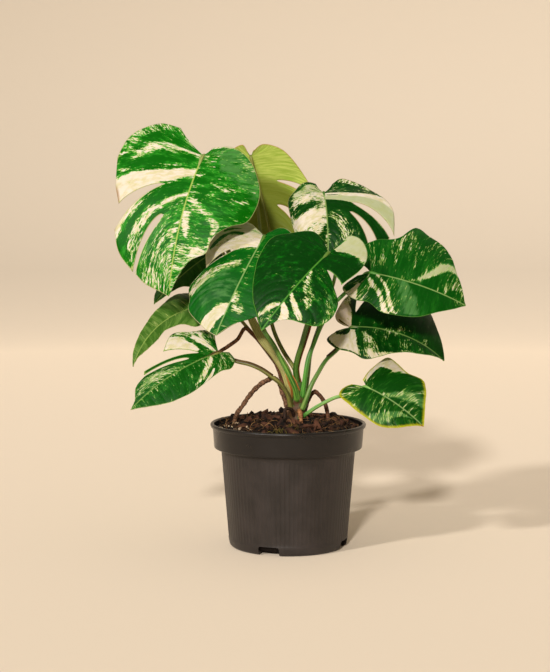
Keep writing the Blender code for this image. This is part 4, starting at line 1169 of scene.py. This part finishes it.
def upperSkin(node):
    # waxy upper skin of a monstera leaf: satin green marbled with cream along the veins, pale midrib
    tone = leafTones[node]
    material, tree, shader = newMaterial(node + " upper skin", 0.4, 0.08)
    shader.inputs["Subsurface Weight"].default_value = 0.3
    shader.inputs["Subsurface Radius"].default_value = (1.0, 1.0, 0.5)
    shader.inputs["Subsurface Scale"].default_value = 1.2 * mm
    uv, seed, length = surfaceUv(tree), tone["seed"] * 13.0, tone["length"]
    cream, sage, brown, edge = paintedMarks(tree)
    total, streak = marbling(tree, uv, tone, cream)
    broad = noiseAt(tree, uv, (7.0, length * 1.5, 1.0), 3, 0.6, seed + 17)
    haze = noiseAt(tree, uv, (4.0, length, 1.0), 3, 0.65, seed + 23)
    white = layered(tree, "#d4ccbd",
                    (noiseAt(tree, uv, (4.0, length, 1.0), 3, 0.6, seed + 29), 0.4, 0.65, 1.0, "#c6bf98"),
                    (sage, 0.2, 1.0, 0.8, "#9aa678"))
    colour = layered(tree, tone["deep"],
                     (weigh(tree, (broad, 1.0), (total, 0.22)), 0.28, 0.58, 1.0, tone["lit"]),
                     (weigh(tree, (haze, 1.0), (sage, 0.4)), 0.58, 0.95, 0.5, "#5c9450"),
                     (total, -0.2, 0.08, 1.0, tone.get("speck", "#8fae58")),
                     (total, 0.04, 0.28, 1.0, white),
                     (heightOf(tree, uv, "Y"), 1.3, 0.4, 0.85, tone["rib"]),
                     (edge, 1.0, 0.3, 0.85, tone["rim"]))
    if "yellow" in tone:
        ragged = weigh(tree, (edge, 1.0), (streak, -5.0))
        colour = layered(tree, colour, (ragged, tone["yellow"] - 2.2, -2.2, 0.9, "#a9a820"))
    paint(tree, shader, colour, (brown, 0.05, 1.0, 1.0, "#8a5a2c"))
    tree.links.new(ramp(tree, broad, 0.3, 0.7, 0.36, 0.5), shader.inputs["Roughness"])
    skin = noiseAt(tree, objectMm(tree), 0.8, 2, 0.5)
    bump(tree, shader, weigh(tree, (streak, 0.8), (skin, 0.3)), 0.0003, 0.4)
    return material


def underSkin(node):
    # matt under skin, paler than the upper one: the marbling shows through, the veins are a little browner;
    # on the top back leaf it carries painted shade
    tone = leafTones[node]
    material, tree, shader = newMaterial(node + " under skin", 0.58, 0.25)
    uv = surfaceUv(tree)
    cream, sage, _, edge = paintedMarks(tree)
    fine = noiseAt(tree, uv, (2.0, 26.0, 1.0), 3, 0.6)
    pale, paler = tone.get("under", ("#42702c", "#6a9648"))
    # on the top back leaf the sage marks carry painted shade, the other leaves' shadow, in its shaded
    # colour
    if "shaded" in tone:
        pattern = (sage, 0.1, 0.8, 0.9, tone["shaded"])
    else:
        pattern = (marbling(tree, uv, tone, cream)[0], 0.0, 0.4, 0.85, "#c9c39a")
    paint(tree, shader, pale, (fine, 0.35, 0.65, 1.0, paler), pattern,
          (heightOf(tree, uv, "Y"), 2.4, 1.0, 0.6, tone.get("underRib", "#7c9a4c")),
          (edge, 1.1, 0.3, 0.8, tone["rim"]))
    bump(tree, shader, fine, 0.0003, 0.5)
    return material


def pieceName(node, kind):
    words = node.split("_")[1:]
    return words[0] + "".join(word.capitalize() for word in words[1:]) + kind


def thicken(piece, thickness, offset):
    thick = piece.modifiers.new("thickness", "SOLIDIFY")
    thick.thickness = thickness * mm
    thick.offset = offset
    return thick


def makeBlade(node, leaf):
    mesh = buildMesh(node, bladeSheets(node, leaf), weld=0.02)
    skins = [upperSkin(node), underSkin(node)]
    piece = addPiece(pieceName(node, "Blade"), mesh, skins, [node])
    thick = thicken(piece, blade["thickness"], 0)
    thick.material_offset = 1
    thick.use_even_offset = False


# Leaf stalks, each carried on as the rib under its blade

stalk = dict(samples=96, sides=20, foot=1.28, neck=0.66, sink=0.92,
             ribShares=(0.1, 0.25, 0.42, 0.6, 0.78, 0.93), groove=0.16, grooveWidth=0.42,
             ridge=0.12, ridgeAngle=0.85, ridgeWidth=0.25, fade=(0.45, 0.62))


def stalkPath(leaf):
    # the stalk's own points, then points under the midrib; the radius narrows to the neck and then the tip
    shares = np.array(stalk["ribShares"])
    ribs = bendBlade(leaf, leaf["left"], -1, np.zeros_like(shares), shares * midribLength(leaf))
    ribRadii = np.linspace(blade["midribStart"], blade["midribEnd"], len(shares))
    ribs = ribs - midribFrame(leaf)[3] * (ribRadii * stalk["sink"] + 0.1)[:, None]
    points = np.concatenate([np.array(leaf["stalk"], float), ribs])
    size = leaf["stalkRadius"]
    knotRadii = np.concatenate([np.linspace(size, max(blade["midribStart"], size * stalk["neck"]),
                                            len(leaf["stalk"])), ribRadii])
    knotRadii[0] *= stalk["foot"]
    path = smoothPath(points, stalk["samples"])
    knots = chordSums(points)
    radii = np.interp(np.linspace(0, knots[-1], stalk["samples"]), knots, knotRadii)
    return path, radii


def stalkShape(angle, share):
    # a shallow channel along the upper side between two low ridges, fading out before the blade
    fade = 1 - smoothStep(share, *stalk["fade"])
    fromTop = angle - math.pi / 2
    channel = np.exp(-(fromTop / stalk["grooveWidth"]) ** 2)
    ridges = np.exp(-((np.abs(fromTop) - stalk["ridgeAngle"]) / stalk["ridgeWidth"]) ** 2)
    return 1 + fade * (stalk["ridge"] * ridges - stalk["groove"] * channel)


def stalkSkin(node):
    # smooth green stalk skin, lined lengthwise, browner in places
    dark, light = leafTones[node]["stalk"]
    material, tree, shader = newMaterial(node + " stalk skin", 0.42, 0.45)
    uv = surfaceUv(tree)
    line = noiseAt(tree, uv, (1.0, 45.0, 1.0), 3, 0.6, leafTones[node]["seed"])
    patch = noiseAt(tree, uv, (5.0, 30.0, 1.0), 2, 0.5, leafTones[node]["seed"] + 4)
    paint(tree, shader, dark, (line, 0.42, 0.6, 1.0, light), (patch, 0.58, 0.75, 0.45, "#503818"))
    bump(tree, shader, line, 0.0004, 0.5)
    return material


def makeStalk(node, leaf):
    sheet = tubeSheet(*stalkPath(leaf), stalk["sides"], stalkShape)
    addPiece(pieceName(node, "Stalk"), buildMesh(node + "Stalk", [sheet]), [stalkSkin(node)], [node])


for node, leaf in leafShapes.items():
    makeBlade(node, leaf)
    makeStalk(node, leaf)
print("leaves made")


# Dry sheaths that wrap the stalks and the crown

# start and end are shares of the stalk's line, centre and wrap angles round it, gap and flare in mm
sheaths = {
    "frontSheath": dict(leaf="leaf_front", start=0.02, end=0.36, centre=200, wrap=120, gap=0.7,
                        flare=1.4, dark="#6c3c1c", light="#a8682c"),
    "rightSheath": dict(leaf="leaf_mid_right", start=0.3, end=0.5, centre=120, wrap=170, gap=0.5,
                        flare=0.7, dark="#2c2010", light="#5c4424"),
    "lowLeftSheath": dict(leaf="leaf_low_left", start=0.2, end=0.62, centre=95, wrap=140, gap=0.4,
                          flare=0.5, dark="#3c2c14", light="#6c5428"),
    "topLeftSheath": dict(leaf="leaf_top_left", start=0.02, end=0.3, centre=150, wrap=150, gap=0.7,
                          flare=2.2, dark="#7a7c3a", light="#b4ac6c"),
    "midLeftSheath": dict(leaf="leaf_mid_left", start=0.0, end=0.12, centre=20, wrap=150, gap=0.8,
                          flare=1.8, dark="#8a5220", light="#c98a44"),
}
sheath = dict(columns=17, thickness=0.35, clear=1.06, leastWidth=0.02)


def makeSheath(name, spec):
    # part of a circle round a stalk, its width closing to a point and its free edges flaring off
    path, radii = stalkPath(leafShapes[spec["leaf"]])
    keep = slice(int(spec["start"] * len(path)), int(spec["end"] * len(path)) + 1)
    path, radii = path[keep], radii[keep]
    share, across = np.meshgrid(np.linspace(0, 1, len(path)), np.linspace(-1, 1, sheath["columns"]),
                                indexing="ij")
    width = math.radians(spec["wrap"] / 2) * (1 - share**2.2) ** 0.6 + sheath["leastWidth"]
    flutter = latticeNoise(np.stack([across * 3, share * 7, 0 * share], -1), 1.0, 5)
    flare = spec["flare"] * (np.abs(across) ** 3 + 0.5 * flutter * share)
    radius = radii[:, None] * sheath["clear"] + spec["gap"] + flare
    points = aroundPath(path, radius, math.radians(spec["centre"]) + across * width, path[-1] - path[0])
    mesh = buildMesh(name, [dict(points=points, uv=np.stack([across * 8, share * 60], axis=-1))])
    skin = paperySkin(name, spec["dark"], spec["light"])
    thicken(addPiece(name, mesh, [skin], []), sheath["thickness"], 1)


def paperySkin(name, dark, light):
    # dried leaf sheath: papery, fibrous lengthwise, orange to dark brown
    material, tree, shader = newMaterial(name + " papery", 0.6, 0.35)
    uv = surfaceUv(tree)
    fibre = noiseAt(tree, uv, (0.9, 26.0, 1.0), 3, 0.65)
    paint(tree, shader, dark, (fibre, 0.35, 0.65, 1.0, light))
    bump(tree, shader, fibre, 0.0005, 0.8)
    return material


for name, spec in sheaths.items():
    makeSheath(name, spec)


# Crown: the short stout stem

crown = dict(line=[(12, 3, 104), (12, 3, 140), (12, 3, 164), (12.5, 4, 186), (13, 5, 200)],
             radii=[7.0, 10.5, 12.0, 11.0, 6.5], samples=90, sides=48, scars=8, scarDepth=0.035,
             rough=1 / 15)


def crownShape(angle, share):
    # leaf scars: slightly tilted rings
    return 1 + crown["scarDepth"] * np.sin(2 * math.pi * crown["scars"] * share + 2 * np.sin(angle))


def makeCrown():
    path = smoothPath(crown["line"], crown["samples"])
    radii = np.interp(np.linspace(0, 4, crown["samples"]), range(5), crown["radii"])
    sheet = tubeSheet(path, radii, crown["sides"], crownShape, run=(1, 0, 0))
    roughen(sheet, path, crown["rough"], 6.0, 2.4, 0.5, 8)
    # green shoot under scarred brown cork
    material, tree, shader = newMaterial("corky green crown", 0.6, 0.35)
    place = objectMm(tree)
    cork = noiseAt(tree, place, (3.0, 3.0, 6.0), 4, 0.65)
    share = maths(tree, "ADD", cork, ramp(tree, heightOf(tree, place), 195.0, 160.0, -0.1, 0.16))
    paint(tree, shader, "#3a5a1c", (share, 0.45, 0.6, 1.0, "#4a3018"),
          (noiseAt(tree, place, 2.0, 3, 0.7, 5.0), 0.6, 0.75, 1.0, "#8a6434"))
    bump(tree, shader, cork, 0.0012, 0.8)
    addPiece("crown", buildMesh("crown", [sheet]), [material], ["stem"])


makeCrown()


# Aerial roots

roots = {
    "root_left": dict(radius=3.1, rough=0.26, dark="#2c1a10", light="#8a6448", line=[
        (2, 3, 160), (-6, 3, 184), (-12, 3, 200), (-18, 2, 205), (-27, 0, 202), (-38, -2, 194),
        (-48, -4, 183), (-54, -6, 174), (-62, -8, 163), (-68, -8, 138)]),
    "root_free": dict(radius=2.7, rough=0.09, dark="#3a2212", light="#84583a", line=[
        (5, 9, 158), (-4, 10, 180), (-8, 12, 202), (-16, 13, 224), (-30, 15, 243), (-44, 16, 258),
        (-52, 11, 265), (-62, 3, 252), (-74, 6, 243), (-84, 10, 236), (-94, 12, 222)]),
    "root_right": dict(radius=2.8, rough=0.22, dark="#2c180e", light="#7c5238", line=[
        (19, 5, 158), (26, 9, 180), (32, 10, 187), (40, 11, 181), (46, 12, 170), (50, 12, 138)]),
    "root_front_left": dict(radius=2.2, rough=0.2, dark="#120a06", light="#3a2416", line=[
        (8, -5, 158), (2, -12, 169), (-3, -15, 169), (-4, -17, 160), (-5, -18, 138)]),
    "root_front": dict(radius=2.6, rough=0.3, dark="#5c341c", light="#b07c50", line=[
        (13, -7, 166), (14, -16, 166), (15, -24, 158), (16, -28, 136)]),
}
root = dict(samples=120, sides=22, taper=0.85)


def makeRoot(node, spec):
    path = smoothPath(spec["line"], root["samples"])
    radii = np.linspace(spec["radius"], spec["radius"] * root["taper"], root["samples"])
    sheet = tubeSheet(path, radii, root["sides"])
    roughen(sheet, path, spec["rough"], 3.2, 1.3, 0.6, 4)
    material, tree, shader = newMaterial(node + " bark", 0.75, 0.3)  # scaly root bark, ringed and dusty
    ring = noiseAt(tree, surfaceUv(tree), (6.0, 1.6, 1.0), 3, 0.65)
    scale = noiseAt(tree, objectMm(tree), 1.6, 4, 0.7)
    share = weigh(tree, (ring, 0.5), (scale, 0.5))
    paint(tree, shader, spec["dark"], (share, 0.38, 0.62, 1.0, spec["light"]))
    bump(tree, shader, share, 0.0008, 0.8)
    addPiece(pieceName(node, "Root"), buildMesh(node, [sheet]), [material], [node])


for node, spec in roots.items():
    makeRoot(node, spec)
print("stalks, sheaths, crown and roots made")
